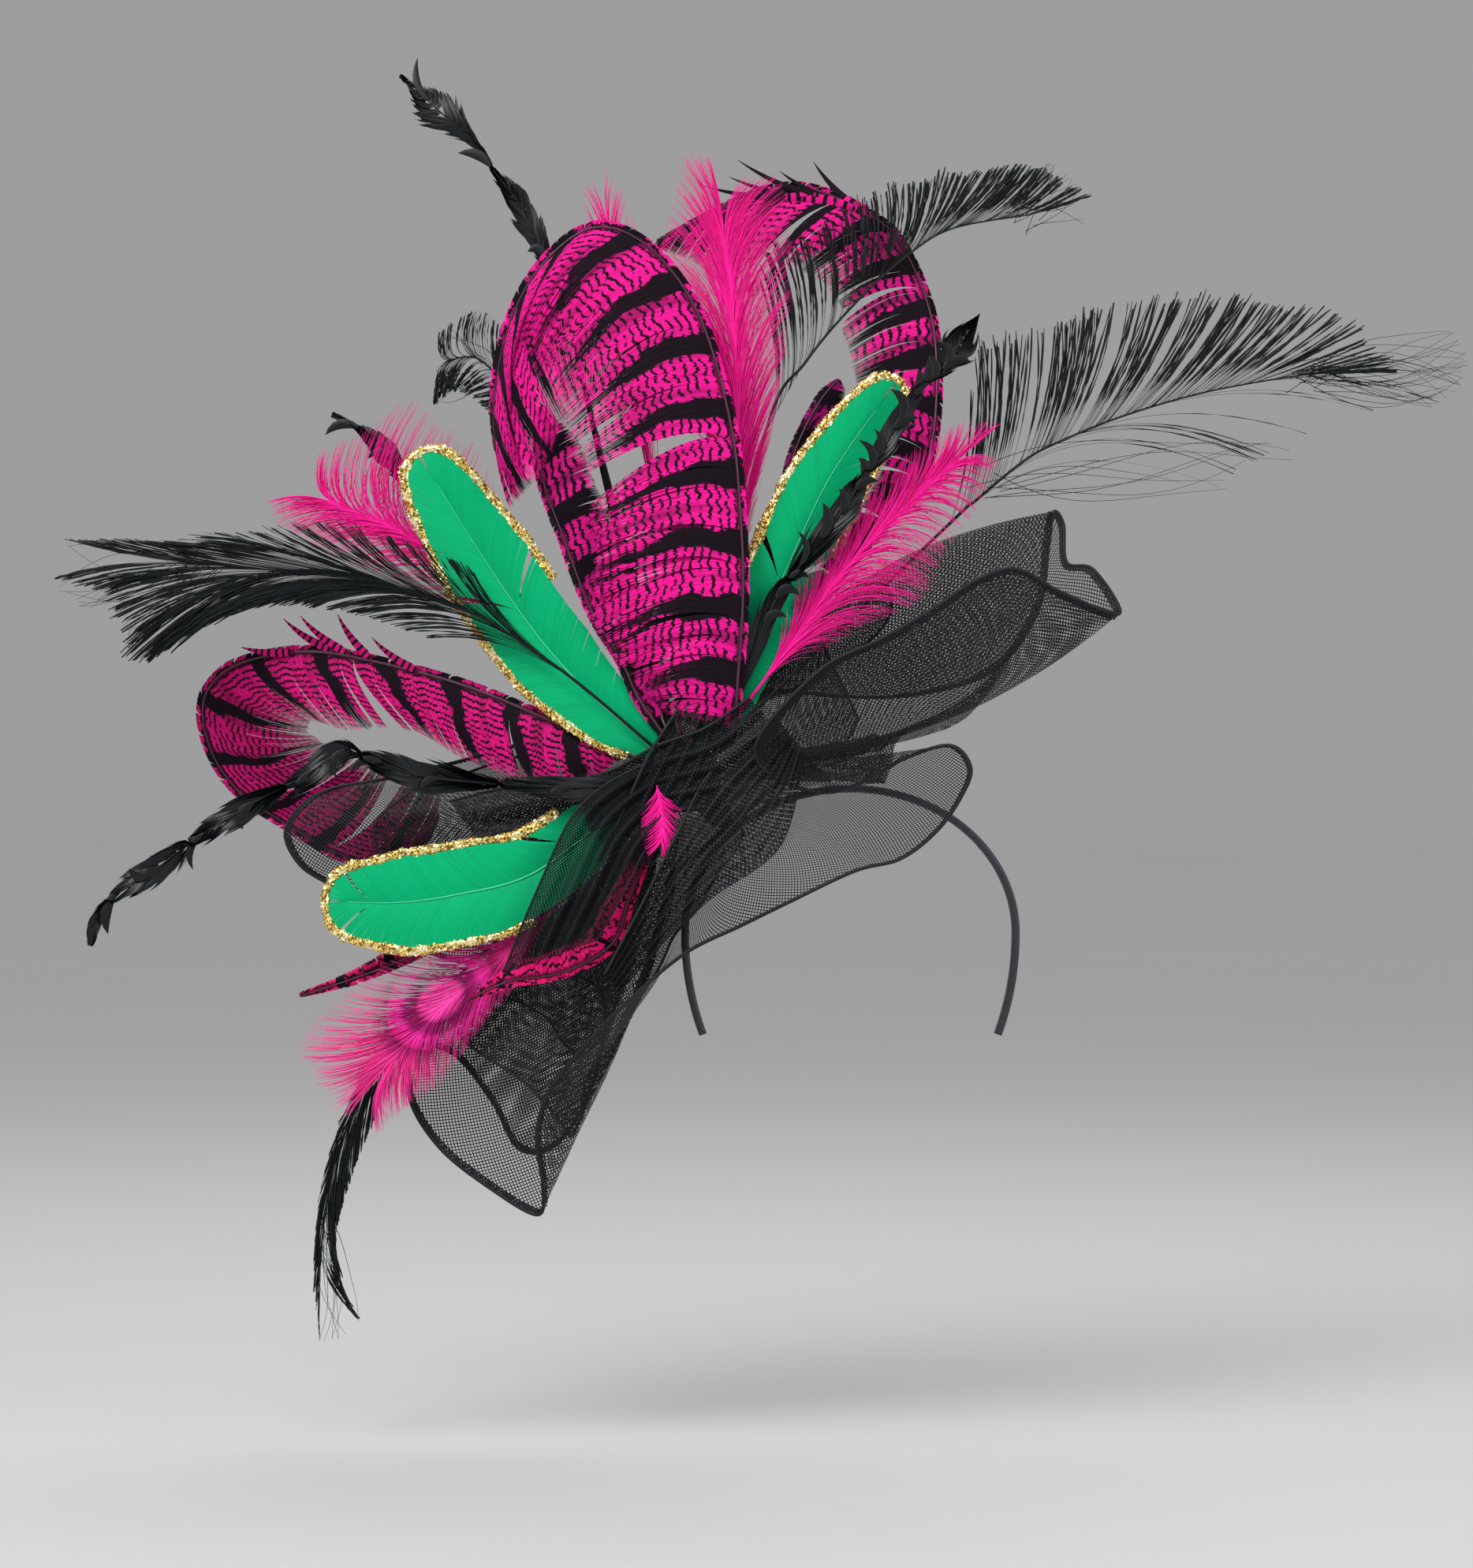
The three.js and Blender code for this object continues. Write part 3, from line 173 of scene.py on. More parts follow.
# Each row: a place on the shaft, or where the herls of one side end
PLUMES = [
  dict(
    name="plume_top", lean=-0.045, turn=84,
    shaft=[[0.052, 0.160], [0.062, 0.300], [0.066, 0.450], [0.060, 0.580], [0.050, 0.680]],
    left=[
      [0, 0.480], [-0.020, 0.560], [-0.030, 0.640], [-0.028, 0.690], [-0.014, 0.745], [0, 0.790],
      [0.028, 0.800],
    ],
    right=[
      [0.105, 0.420], [0.120, 0.500], [0.130, 0.580], [0.134, 0.660], [0.132, 0.720], [0.115, 0.765],
      [0.075, 0.770],
    ],
  ),
  dict(
    name="plume_wisp", lean=-0.095, turn=98,
    shaft=[[-0.020, 0.200], [-0.060, 0.480], [-0.085, 0.620], [-0.100, 0.700]],
    left=[[-0.110, 0.660], [-0.128, 0.715], [-0.134, 0.754], [-0.122, 0.772]],
    right=[[-0.045, 0.660], [-0.060, 0.700], [-0.078, 0.745], [-0.104, 0.785]],
  ),
  dict(
    name="plume_left", lean=-0.03, turn=134,
    shaft=[[-0.160, 0.150], [-0.270, 0.250], [-0.360, 0.310], [-0.450, 0.350]],
    left=[
      [-0.300, 0.215], [-0.380, 0.255], [-0.450, 0.282], [-0.495, 0.305], [-0.522, 0.328], [-0.534, 0.352],
    ],
    right=[
      [-0.232, 0.330], [-0.262, 0.411], [-0.306, 0.440], [-0.350, 0.478], [-0.420, 0.440], [-0.472, 0.411],
    ],
  ),
  dict(
    name="plume_right", lean=0.022, turn=51,
    shaft=[[0.080, 0.098], [0.135, 0.172], [0.200, 0.262], [0.270, 0.335], [0.330, 0.390]],
    left=[[0.140, 0.250], [0.190, 0.320], [0.245, 0.380], [0.300, 0.420], [0.350, 0.450], [0.398, 0.448]],
    right=[[0.225, 0.195], [0.288, 0.217], [0.312, 0.255], [0.335, 0.295], [0.370, 0.345], [0.395, 0.400]],
  ),
  dict(
    name="plume_eye", lean=0.075, turn=219,
    shaft=[[-0.150, -0.145], [-0.223, -0.220], [-0.300, -0.285], [-0.360, -0.345]],
    left=[
      [-0.215, -0.265], [-0.262, -0.320], [-0.300, -0.375], [-0.335, -0.400], [-0.364, -0.425],
      [-0.391, -0.450],
    ],
    right=[
      [-0.290, -0.200], [-0.380, -0.235], [-0.450, -0.290], [-0.480, -0.338], [-0.462, -0.385],
      [-0.425, -0.430],
    ],
  ),
]

TUFT = dict(
  name="heart_tuft", lean=0.19, turn=248,
  shaft=[[-0.036, -0.010], [-0.030, -0.050], [-0.030, -0.075]],
  left=[[-0.004, -0.040], [-0.010, -0.066], [-0.020, -0.088], [-0.028, -0.104]],
  right=[[-0.056, -0.045], [-0.056, -0.066], [-0.052, -0.085], [-0.046, -0.098]],
)

SWORDS = [
  dict(
    name="sword_top", lean=-0.115, turn=76,
    shaft=[[0.100, 0.440], [0.154, 0.536], [0.220, 0.615], [0.287, 0.677], [0.345, 0.712], [0.444, 0.731]],
    left=[
      [0.108, 0.640], [0.120, 0.685], [0.160, 0.700], [0.200, 0.725], [0.245, 0.758], [0.290, 0.770],
      [0.345, 0.786], [0.395, 0.792], [0.440, 0.795], [0.480, 0.785], [0.527, 0.757],
    ],
    right=[],
  ),
  dict(
    name="sword_right", lean=-0.03, turn=44,
    shaft=[
      [0.330, 0.318], [0.367, 0.351], [0.431, 0.404], [0.477, 0.429], [0.555, 0.461], [0.646, 0.489],
      [0.720, 0.505], [0.810, 0.520],
    ],
    left=[
      [0.375, 0.480], [0.392, 0.543], [0.430, 0.566], [0.475, 0.572], [0.518, 0.585], [0.573, 0.603],
      [0.642, 0.608], [0.720, 0.610], [0.784, 0.603], [0.848, 0.592], [0.900, 0.555], [0.925, 0.522],
    ],
    right=[
      [0.560, 0.368], [0.665, 0.369], [0.690, 0.384], [0.729, 0.407], [0.765, 0.423], [0.800, 0.440],
      [0.840, 0.455], [0.870, 0.470], [0.905, 0.475], [0.935, 0.480], [0.965, 0.485], [0.995, 0.495],
    ],
  ),
  dict(
    name="sword_left", lean=0.085, turn=137,
    shaft=[
      [-0.140, 0.122], [-0.231, 0.186], [-0.277, 0.209], [-0.340, 0.232], [-0.405, 0.249], [-0.600, 0.268],
    ],
    left=[
      [-0.330, 0.175], [-0.430, 0.205], [-0.520, 0.212], [-0.590, 0.195], [-0.640, 0.170], [-0.672, 0.140],
      [-0.690, 0.165], [-0.720, 0.225], [-0.793, 0.250],
    ],
    right=[
      [-0.270, 0.262], [-0.330, 0.292], [-0.400, 0.312], [-0.480, 0.318], [-0.560, 0.310], [-0.640, 0.296],
      [-0.710, 0.300], [-0.778, 0.299],
    ],
  ),
  dict(
    name="sword_back", lean=-0.065, turn=116,
    shaft=[[-0.150, 0.340], [-0.215, 0.475], [-0.265, 0.535], [-0.305, 0.535]],
    left=[[-0.225, 0.420], [-0.270, 0.480], [-0.300, 0.490], [-0.320, 0.476]],
    right=[[-0.195, 0.500], [-0.235, 0.575], [-0.275, 0.598], [-0.318, 0.570]],
  ),
  dict(
    name="sword_hanging", lean=0.012, turn=213,
    shaft=[[-0.330, -0.290], [-0.385, -0.355], [-0.420, -0.420], [-0.450, -0.500], [-0.465, -0.600]],
    left=[[-0.392, -0.430], [-0.425, -0.510], [-0.445, -0.590], [-0.436, -0.650], [-0.415, -0.688]],
    right=[[-0.424, -0.400], [-0.454, -0.480], [-0.470, -0.560], [-0.474, -0.640], [-0.466, -0.720]],
  ),
]

# Each row: the stem and the width across it in millimetres
TWISTS = [
  dict(
    name="twist_top", lean=-0.035, turn=106, turns=3,
    rows=[
      [-0.035, 0.120, 3], [-0.095, 0.350, 3], [-0.155, 0.600, 3], [-0.183, 0.670, 6], [-0.215, 0.735, 10],
      [-0.245, 0.775, 6], [-0.275, 0.817, 4], [-0.320, 0.858, 16], [-0.345, 0.882, 11], [-0.369, 0.904, 1.5],
    ],
  ),
  dict(
    name="twist_right", lean=0.06, turn=62, turns=4,
    rows=[
      [0.055, 0.090, 4], [0.112, 0.221, 12], [0.140, 0.262, 13], [0.200, 0.340, 13], [0.222, 0.375, 9],
      [0.243, 0.405, 11], [0.274, 0.457, 8], [0.299, 0.494, 7], [0.325, 0.515, 7], [0.347, 0.548, 16],
      [0.371, 0.585, 1.5],
    ],
  ),
  dict(
    name="twist_left", lean=-0.058, turn=125, turns=2,
    rows=[
      [-0.070, 0.090, 3], [-0.220, 0.240, 3], [-0.347, 0.369, 6], [-0.389, 0.419, 10], [-0.422, 0.448, 7],
      [-0.455, 0.465, 1.5],
    ],
  ),
  dict(
    name="twist_braid", lean=0.2, turn=178, turns=6,
    rows=[
      [-0.070, -0.006, 7], [-0.132, -0.013, 14], [-0.250, -0.007, 17], [-0.336, 0.003, 15],
      [-0.399, 0.026, 13], [-0.432, 0.030, 13], [-0.470, 0.004, 13], [-0.527, -0.026, 14],
      [-0.580, -0.058, 12], [-0.622, -0.087, 16], [-0.665, -0.120, 14], [-0.708, -0.148, 12],
      [-0.730, -0.178, 7], [-0.737, -0.209, 1.5],
    ],
  ),
]

# Each row: the rim (right, up, front), the turn on the stems, the depth there, and the belly (side, out, bow)
BRIM_ROWS = [
  [-0.188, -0.553, 0.040, 256, 0.020, 0.010, 0, -0.010],
  [-0.180, -0.515, 0.060, 261, 0.030, 0.030, 0.010, -0.020],
  [-0.187, -0.450, 0.080, 265, 0.034, 0.040, 0.040, -0.030],
  [-0.168, -0.388, 0.095, 269, 0.034, 0.050, 0.045, -0.035],
  [-0.114, -0.322, 0.105, 273, 0.034, 0.045, 0.035, -0.030],
  [-0.064, -0.272, 0.110, 278, 0.034, 0.030, 0.025, -0.020],
  [0.002, -0.218, 0.115, 286, 0.034, 0.020, 0.020, 0],
  [0.070, -0.184, 0.135, 294, 0.034, 0, 0.010, 0.015],
  [0.130, -0.154, 0.155, 302, 0.034, 0, 0.010, 0.020],
  [0.210, -0.116, 0.162, 314, 0.034, 0, 0.010, 0.020],
  [0.267, -0.101, 0.155, 323, 0.034, 0, 0.010, 0.020],
  [0.313, -0.067, 0.125, 332, 0.034, 0, 0.010, 0.015],
  [0.345, -0.025, 0.085, 339, 0.034, 0, 0.005, 0.005],
  [0.359, 0.012, 0.050, 345, 0.034, 0, 0, 0],
  [0.335, 0.040, 0.020, 350, 0.034, 0, 0, -0.010],
  [0.280, 0.025, 0.015, 354, 0.034, 0.010, 0.020, -0.020],
  [0.225, -0.005, 0.030, 357, 0.034, 0.030, 0.070, -0.030],
  [0.180, -0.019, 0.050, 360, 0.034, 0.030, 0.120, -0.040],
  [0.130, -0.010, 0.070, 363, 0.034, 0.010, 0.160, -0.050],
  [0.091, 0.019, 0.085, 366, 0.034, -0.040, 0.185, -0.060],
  [0.098, 0.060, 0.100, 369, 0.034, -0.090, 0.180, -0.065],
  [0.171, 0.136, 0.105, 373, 0.034, -0.130, 0.165, -0.065],
  [0.243, 0.172, 0.100, 376, 0.034, -0.135, 0.160, -0.060],
  [0.305, 0.208, 0.090, 378, 0.030, -0.125, 0.150, -0.055],
  [0.366, 0.248, 0.075, 380, 0.024, -0.120, 0.120, -0.050],
  [0.416, 0.262, 0.060, 381, 0.016, -0.100, 0.080, -0.040],
  [0.474, 0.234, 0.035, 382, 0.008, -0.070, 0.030, -0.035],
  [0.551, 0.208, 0, 384, -0.004, -0.050, 0, -0.030],
  [0.520, 0.265, -0.025, 386, -0.012, -0.050, 0, -0.030],
  [0.487, 0.275, -0.045, 388, -0.020, -0.030, 0.010, -0.030],
  [0.484, 0.325, -0.065, 390, -0.026, 0.020, 0.020, -0.035],
  [0.473, 0.342, -0.085, 392, -0.030, 0.060, 0.030, -0.035],
  [0.468, 0.300, -0.110, 395, -0.034, 0.090, 0.040, -0.035],
  [0.455, 0.215, -0.130, 398, -0.036, 0.110, 0.050, -0.040],
  [0.400, 0.140, -0.155, 402, -0.037, 0.100, 0.040, -0.040],
  [0.310, 0.110, -0.175, 407, -0.038, 0.070, 0.020, -0.040],
  [0.220, 0.105, -0.190, 416, -0.038, 0.040, 0, -0.020],
  [0.100, 0.115, -0.200, 435, -0.037, 0, 0, -0.010],
  [-0.020, 0.110, -0.185, 460, -0.034, 0, 0, 0],
  [-0.140, 0.070, -0.160, 490, -0.034, 0, 0, 0],
  [-0.260, 0.030, -0.120, 512, -0.034, 0, 0, 0],
  [-0.380, 0, -0.080, 526, -0.034, 0, 0, 0],
  [-0.470, -0.020, -0.055, 536, -0.032, 0, 0, 0],
  [-0.513, -0.065, -0.045, 544, -0.030, 0, 0, 0.005],
  [-0.495, -0.112, -0.045, 550, -0.028, 0, 0, 0.010],
  [-0.444, -0.146, -0.050, 557, -0.028, 0, 0, 0.005],
  [-0.385, -0.200, -0.065, 564, -0.030, 0, 0, 0],
  [-0.290, -0.238, -0.085, 572, -0.032, 0, 0.010, -0.010],
  [-0.190, -0.245, -0.100, 580, -0.034, 0.010, 0.030, -0.015],
  [-0.110, -0.280, -0.105, 586, -0.034, 0.020, 0.030, -0.015],
  [-0.120, -0.390, -0.095, 590, -0.032, 0.010, 0, -0.010],
  [-0.165, -0.470, -0.082, 594, -0.028, 0, 0, -0.005],
  [-0.215, -0.478, -0.070, 597, -0.024, 0, 0, 0],
  [-0.250, -0.415, -0.058, 600, -0.020, 0, 0, 0],
  [-0.300, -0.353, -0.044, 603, -0.014, 0, 0, 0],
  [-0.350, -0.350, -0.024, 606, -0.008, 0, 0, 0],
  [-0.352, -0.410, -0.008, 609, 0, 0, 0, 0],
  [-0.313, -0.471, 0.006, 612, 0.008, 0, 0, 0],
  [-0.250, -0.520, 0.020, 614, 0.014, 0, 0, 0],
]

# Each row: the upper edge, the lower edge and the depth
STRIPS = [
  dict(
    name="crin_fold_left", pleats=2,
    rows=[
      [-0.047, 0.008, -0.047, -0.014, 0.008], [-0.130, -0.004, -0.100, -0.060, 0.008],
      [-0.220, -0.012, -0.170, -0.095, 0.010], [-0.300, -0.030, -0.255, -0.090, 0.012],
    ],
  ),
  dict(
    name="crin_fold_down", pleats=4,
    rows=[
      [0.010, 0.020, 0.020, -0.020, DRUM_FRONT], [-0.060, 0.012, -0.010, -0.040, DRUM_FRONT + 0.012],
      [-0.135, -0.040, -0.050, -0.090, 0.075], [-0.185, -0.140, -0.080, -0.150, 0.088],
      [-0.228, -0.245, -0.112, -0.205, 0.096],
    ],
  ),
]

# A goose feather's outline: shares from the tip to the base, and shares of the half width
OUTLINE_ROWS = [[0, 0], [0.15, 0.42], [0.3, 0.72], [0.5, 1], [0.7, 0.98], [0.85, 0.68], [1, 0.08]]

# Paths

def unit(vectors):
    return vectors / (np.linalg.norm(vectors, axis=-1, keepdims=True) + 1e-12)


def square_to(way):
    """Flat directions turned a quarter to the left."""
    return np.stack([-way[..., 1], way[..., 0]], -1)


def travelled(points, axis=0):
    """The length run along points, from 0 at the first."""
    steps = np.linalg.norm(np.diff(points, axis=axis), axis=-1)
    return np.cumsum(np.insert(steps, 0, 0, axis=axis), axis=axis)


def smooth_rows(rows, steps, closed=False, lap=None):
    """A smooth run through table rows. lap is a column that grows by a full turn each time round."""
    rows = np.array(rows, float)
    count = len(rows)
    spans = count if closed else count - 1
    spot = np.arange(spans * steps + (0 if closed else 1)) / steps
    index = np.minimum(spot.astype(int), spans - 1)
    t = (spot - index)[:, None]

    def at(i):
        if not closed:
            return rows[np.clip(i, 0, count - 1)]
        got = rows[i % count].copy()
        got[:, lap] += 360 * np.floor_divide(i, count)
        return got

    a, b, c, d = (at(index + shift) for shift in (-1, 0, 1, 2))
    return b + 0.5 * t * (c - a + t * (2 * a - 5 * b + 4 * c - d + t * (3 * (b - c) + d - a)))


def sample(run, share):
    """Rows of a run at shares of its length from 0 to 1."""
    spot = np.clip(share, 0, 1) * (len(run) - 1)
    index = np.minimum(spot.astype(int), len(run) - 2)
    return run[index] + (run[index + 1] - run[index]) * (spot - index)[..., None]


def forward(run):
    return unit(np.gradient(run[:, :2], axis=0))


# The middle of the bound stems, worked out from the band, the base and the stalk as in the source
base_normal = Vector((-BAND_CROWN_HEIGHT, 0, BAND_HALF_WIDTH)).normalized()
base_foot = Vector((
    -BAND_HALF_WIDTH * math.sin(BASE_TURN),
    0,
    BAND_THICKNESS / 2 - BAND_CROWN_HEIGHT * (1 - math.cos(BASE_TURN)),
)) + base_normal * (BAND_THICKNESS / 2 + SEAT_GAP)
stalk_foot = base_foot + base_normal * (BASE_THICKNESS + SEAT_GAP)
stalk_foot.y = -HUB_FORWARD
HUB = stalk_foot + base_normal * STALK_RISE


def place(right, up, front):
    """Points in metres from shares of the reach, swept back with their distance from the stems."""
    spread = right * right + up * up
    return np.stack([
        HUB.x + right * REACH,
        HUB.y - (front - SWEEP_BACK * spread) * REACH,
        HUB.z + up * REACH,
    ], -1)


def on_cone(lean, flat, lift=0.0, rise=0.0):
    """Points of one feather's cone. lift is a share of the reach, rise is in metres, both to the front."""
    right, up = flat[..., 0], flat[..., 1]
    front = lean * (np.hypot(right, up) + SPRAY_DEPTH / REACH) + lift + rise / REACH
    return place(right, up, front)


def drum_radius(gap):
    """The corner radius of the bound stems with a gap round them, as a share of the reach."""
    return (HUB_RADIUS + gap) / math.cos(math.pi / HUB_SIDES) / REACH


def root_row(turn):
    """Where a feather leaves the stems, for its turn in degrees."""
    radius, turn = drum_radius(SEAT_GAP), math.radians(turn)
    return [radius * math.cos(turn), radius * math.sin(turn)]


# Meshes

def linked(name, data):
    thing = bpy.data.objects.new(name, data)
    bpy.context.collection.objects.link(thing)
    return thing


def registered(piece, node):
    """Every piece rides the one body and stands for a node of the solid model."""
    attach(piece, "root")
    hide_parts(node)
    return piece


def make(name, node, points, faces, look, uv, strand=None):
    """A piece from points, faces, a UV pair a point and a random value for each point's strand."""
    mesh = bpy.data.meshes.new(name)
    mesh.from_pydata(np.asarray(points).reshape(-1, 3).tolist(), [], faces)
    mesh.polygons.foreach_set("use_smooth", np.full(len(mesh.polygons), True))
    corners = np.empty(len(mesh.loops), int)
    mesh.loops.foreach_get("vertex_index", corners)
    layer = mesh.uv_layers.new(name="Cloth")
    layer.data.foreach_set("uv", np.asarray(uv, float).reshape(-1, 2)[corners].ravel())
    if strand is not None:
        mesh.attributes.new("strand", "FLOAT", "POINT").data.foreach_set("value", strand.ravel())
    mesh.materials.append(LOOKS[look])
    return registered(linked(name, mesh), node)


def grid_faces(rows, columns, closed=False):
    """Quads of a grid of points. closed joins the last column to the first."""
    i, j = np.indices((rows - 1, columns if closed else columns - 1)).reshape(2, -1)
    here, below, beside = i * columns, (i + 1) * columns, (j + 1) % columns
    return np.stack([here + j, here + beside, below + beside, below + j], -1)


# Sections of a band or a strand: shares of its half width, across and to the front
RIBBON = [(1, 0.16), (-1, -0.16)]
BLADE = [(1, -0.12), (0, 0.14), (-1, -0.12)]
STRAND = [(0.9, -0.5), (0, 1), (-0.9, -0.5)]
TUBE = [(math.cos(turn), math.sin(turn)) for turn in np.linspace(0, 2 * math.pi, 8, endpoint=False)]

# In a metre. UVs are in centimetres
CENTIMETRES = 100
FRONT_BACK = (0.0, 1.0, 0.0)


def sweep(paths, half, section, closed, across=None):
    """Bands or strands along many paths at once, each with its own half width at every station."""
    tangent = unit(np.gradient(paths, axis=1))
    across = unit(np.cross(tangent, FRONT_BACK) if across is None else across)
    front = unit(np.cross(tangent, across))
    section = np.array(section)
    shape = section[:, 0, None] * across[:, :, None] + section[:, 1, None] * front[:, :, None]
    points = paths[:, :, None] + np.broadcast_to(half, paths.shape[:2])[:, :, None, None] * shape
    count, stations, sides = points.shape[:3]
    one = grid_faces(stations, sides, closed)
    faces = (one[None] + (np.arange(count) * stations * sides)[:, None, None]).reshape(-1, 4)
    return points, faces.tolist()


def strands(name, node, paths, half, look, section=RIBBON, across=None, along=0.0, seed=0):
    """A piece of many bands. Its UV is centimetres along the shaft and centimetres along the barb."""
    points, faces = sweep(paths, half, section, section in (STRAND, TUBE), across)
    count = len(paths)

    def spread(values):
        return np.broadcast_to(values, points.shape[:3])

    shaft = np.broadcast_to(np.asarray(along) * CENTIMETRES, count)[:, None, None]
    barb = travelled(paths, 1)[:, :, None] * CENTIMETRES
    strand = np.random.default_rng(seed).random(count)[:, None, None]
    uv = np.stack([spread(shaft), spread(barb)], -1)
    return make(name, node, points, faces, look, uv, spread(strand))


def closed_sweep(name, node, path, half, section, across, look):
    """A closed rod with flat ends."""
    points, faces = sweep(path[None], half, section, True, np.broadcast_to(across, path.shape)[None])
    stations, sides = points.shape[1:3]
    caps = [list(range(sides))[::-1], list(range((stations - 1) * sides, stations * sides))]
    uv = uv_grid(travelled(path)[:, None] * CENTIMETRES, np.linspace(0, 1, sides))
    return make(name, node, points, faces + caps, look, uv)


def uv_grid(along, across):
    return np.stack(np.broadcast_arrays(along, across), -1)


def cloth(name, node, grid, uv, look="net"):
    return make(name, node, grid, grid_faces(*grid.shape[:2]).tolist(), look, uv)


def cord(name, node, path, radius):
    return strands(name, node, path[None], radius, "cord", TUBE)


def bent(root, control, tip, stations):
    t = np.linspace(0, 1, stations)[None, :, None]
    return (1 - t) ** 2 * root[:, None] + 2 * t * (1 - t) * control[:, None] + t * t * tip[:, None]


def clumped(shares, size, strength, rng):
    """Shares drawn together in clumps, as barbs stick to each other, with gaps between the clumps."""
    edges = [shares.min()]
    while edges[-1] < shares.max():
        edges.append(edges[-1] + size * rng.uniform(0.4, 1.6))
    edges = np.array(edges)
    which = np.clip(np.searchsorted(edges, shares, side="right") - 1, 0, len(edges) - 2)
    middle = (edges[which] + edges[which + 1]) / 2
    pull = rng.uniform(0.2, 1.0, len(edges))[which] * strength
    return shares + (middle - shares) * pull, which


def opened(shares, splits):
    """Shares pushed apart at named splits of a vane. Each split: its place, its width, and its run."""
    moved = shares.copy()
    for spot, width, run in splits:
        distance = shares - spot
        moved += np.sign(distance + 1e-9) * width * np.exp(-np.abs(distance) / run)
    return moved


# Nodes

class Signal:
    """A node's output in plain arithmetic. Each step adds a Math node to its tree."""

    def __init__(self, tree, socket):
        self.tree, self.socket = tree, socket

    def __add__(self, other):
        return maths("ADD", self, other)

    def __radd__(self, other):
        return maths("ADD", other, self)

    def __sub__(self, other):
        return maths("SUBTRACT", self, other)

    def __rsub__(self, other):
        return maths("SUBTRACT", other, self)

    def __mul__(self, other):
        return maths("MULTIPLY", self, other)

    def __truediv__(self, other):
        return maths("DIVIDE", self, other)

    def __abs__(self):
        return maths("ABSOLUTE", self)


def wire(tree, value, socket):
    """Links an output, or sets a plain value. Colours are given as red, green and blue."""
    if isinstance(value, Signal):
        value = value.socket
    if isinstance(value, bpy.types.NodeSocket):
        tree.links.new(value, socket)
    else:
        socket.default_value = (*value, 1) if socket.type == "RGBA" else value


def add(tree, kind, inputs=(), **settings):
    """A new node with its settings, and with outputs or plain values for inputs by name or number."""
    node = tree.nodes.new(kind)
    for key, value in settings.items():
        setattr(node, key, value)
    for key, value in dict(inputs).items():
        wire(tree, value, node.inputs[key])
    return node


def tree_of(values):
    return next(value.tree for value in values if isinstance(value, Signal))


def signals(tree, node):
    return {socket.name: Signal(tree, socket) for socket in node.outputs}


def maths(operation, *values):
    tree = tree_of(values)
    return Signal(tree, add(tree, "ShaderNodeMath", enumerate(values), operation=operation).outputs[0])


def ease(value, low, high):
    """0 below low and 1 above high."""
    inputs = {"Value": value, "From Min": low, "From Max": high}
    node = add(value.tree, "ShaderNodeMapRange", inputs, interpolation_type="SMOOTHSTEP")
    return Signal(value.tree, node.outputs["Result"])


def ridged(value):
    """1 at whole numbers and 0 half way between them."""
    return abs(maths("FRACT", value) - 0.5) * 2.0


def blended(share, first, second, mode="MIX"):
    tree = tree_of((share, first, second))
    inputs = {"Factor": share, 6: first, 7: second}
    return Signal(tree, add(tree, "ShaderNodeMix", inputs, data_type="RGBA", blend_type=mode).outputs[2])


def combined(*values):
    tree = tree_of(values)
    return Signal(tree, add(tree, "ShaderNodeCombineXYZ", enumerate(values)).outputs[0])


def shaded(colour, shade):
    return blended(1.0, colour, combined(shade, shade, shade), "MULTIPLY")


def split_xy(vector):
    node = add(vector.tree, "ShaderNodeSeparateXYZ", {0: vector})
    return Signal(vector.tree, node.outputs[0]), Signal(vector.tree, node.outputs[1])


def noise(vector, scale, detail=2.0, rough=0.5):
    inputs = {"Vector": vector, "Scale": scale, "Detail": detail, "Roughness": rough}
    return Signal(vector.tree, add(vector.tree, "ShaderNodeTexNoise", inputs).outputs["Fac"])


def streaks(x, y, along, across, depth=0.0, detail=2.0):
    """Noise stretched by its own rate along and across the shaft."""
    return noise(combined(x * along, y * across, depth), 1.0, detail)


def uv_of(tree):
    return Signal(tree, add(tree, "ShaderNodeUVMap", uv_map="Cloth").outputs[0])


def object_point(tree):
    return Signal(tree, add(tree, "ShaderNodeTexCoord").outputs["Object"])


def strand_of(tree):
    return Signal(tree, add(tree, "ShaderNodeAttribute", attribute_name="strand").outputs["Fac"])


# Shader groups

def group(name, inputs, outputs):
    """A shader group: its tree, its inputs as signals and its result. The inputs' values give their kinds."""
    kinds = {type(None): "NodeSocketVector", float: "NodeSocketFloat", tuple: "NodeSocketColor"}
    tree = bpy.data.node_groups.new(name, "ShaderNodeTree")
    for label, value in inputs.items():
        socket = tree.interface.new_socket(label, in_out="INPUT", socket_type=kinds[type(value)])
        if value is not None:
            socket.default_value = (*value, 1) if isinstance(value, tuple) else value
    for label, kind in outputs.items():
        tree.interface.new_socket(label, in_out="OUTPUT", socket_type=kind)
    return tree, signals(tree, tree.nodes.new("NodeGroupInput")), tree.nodes.new("NodeGroupOutput").inputs


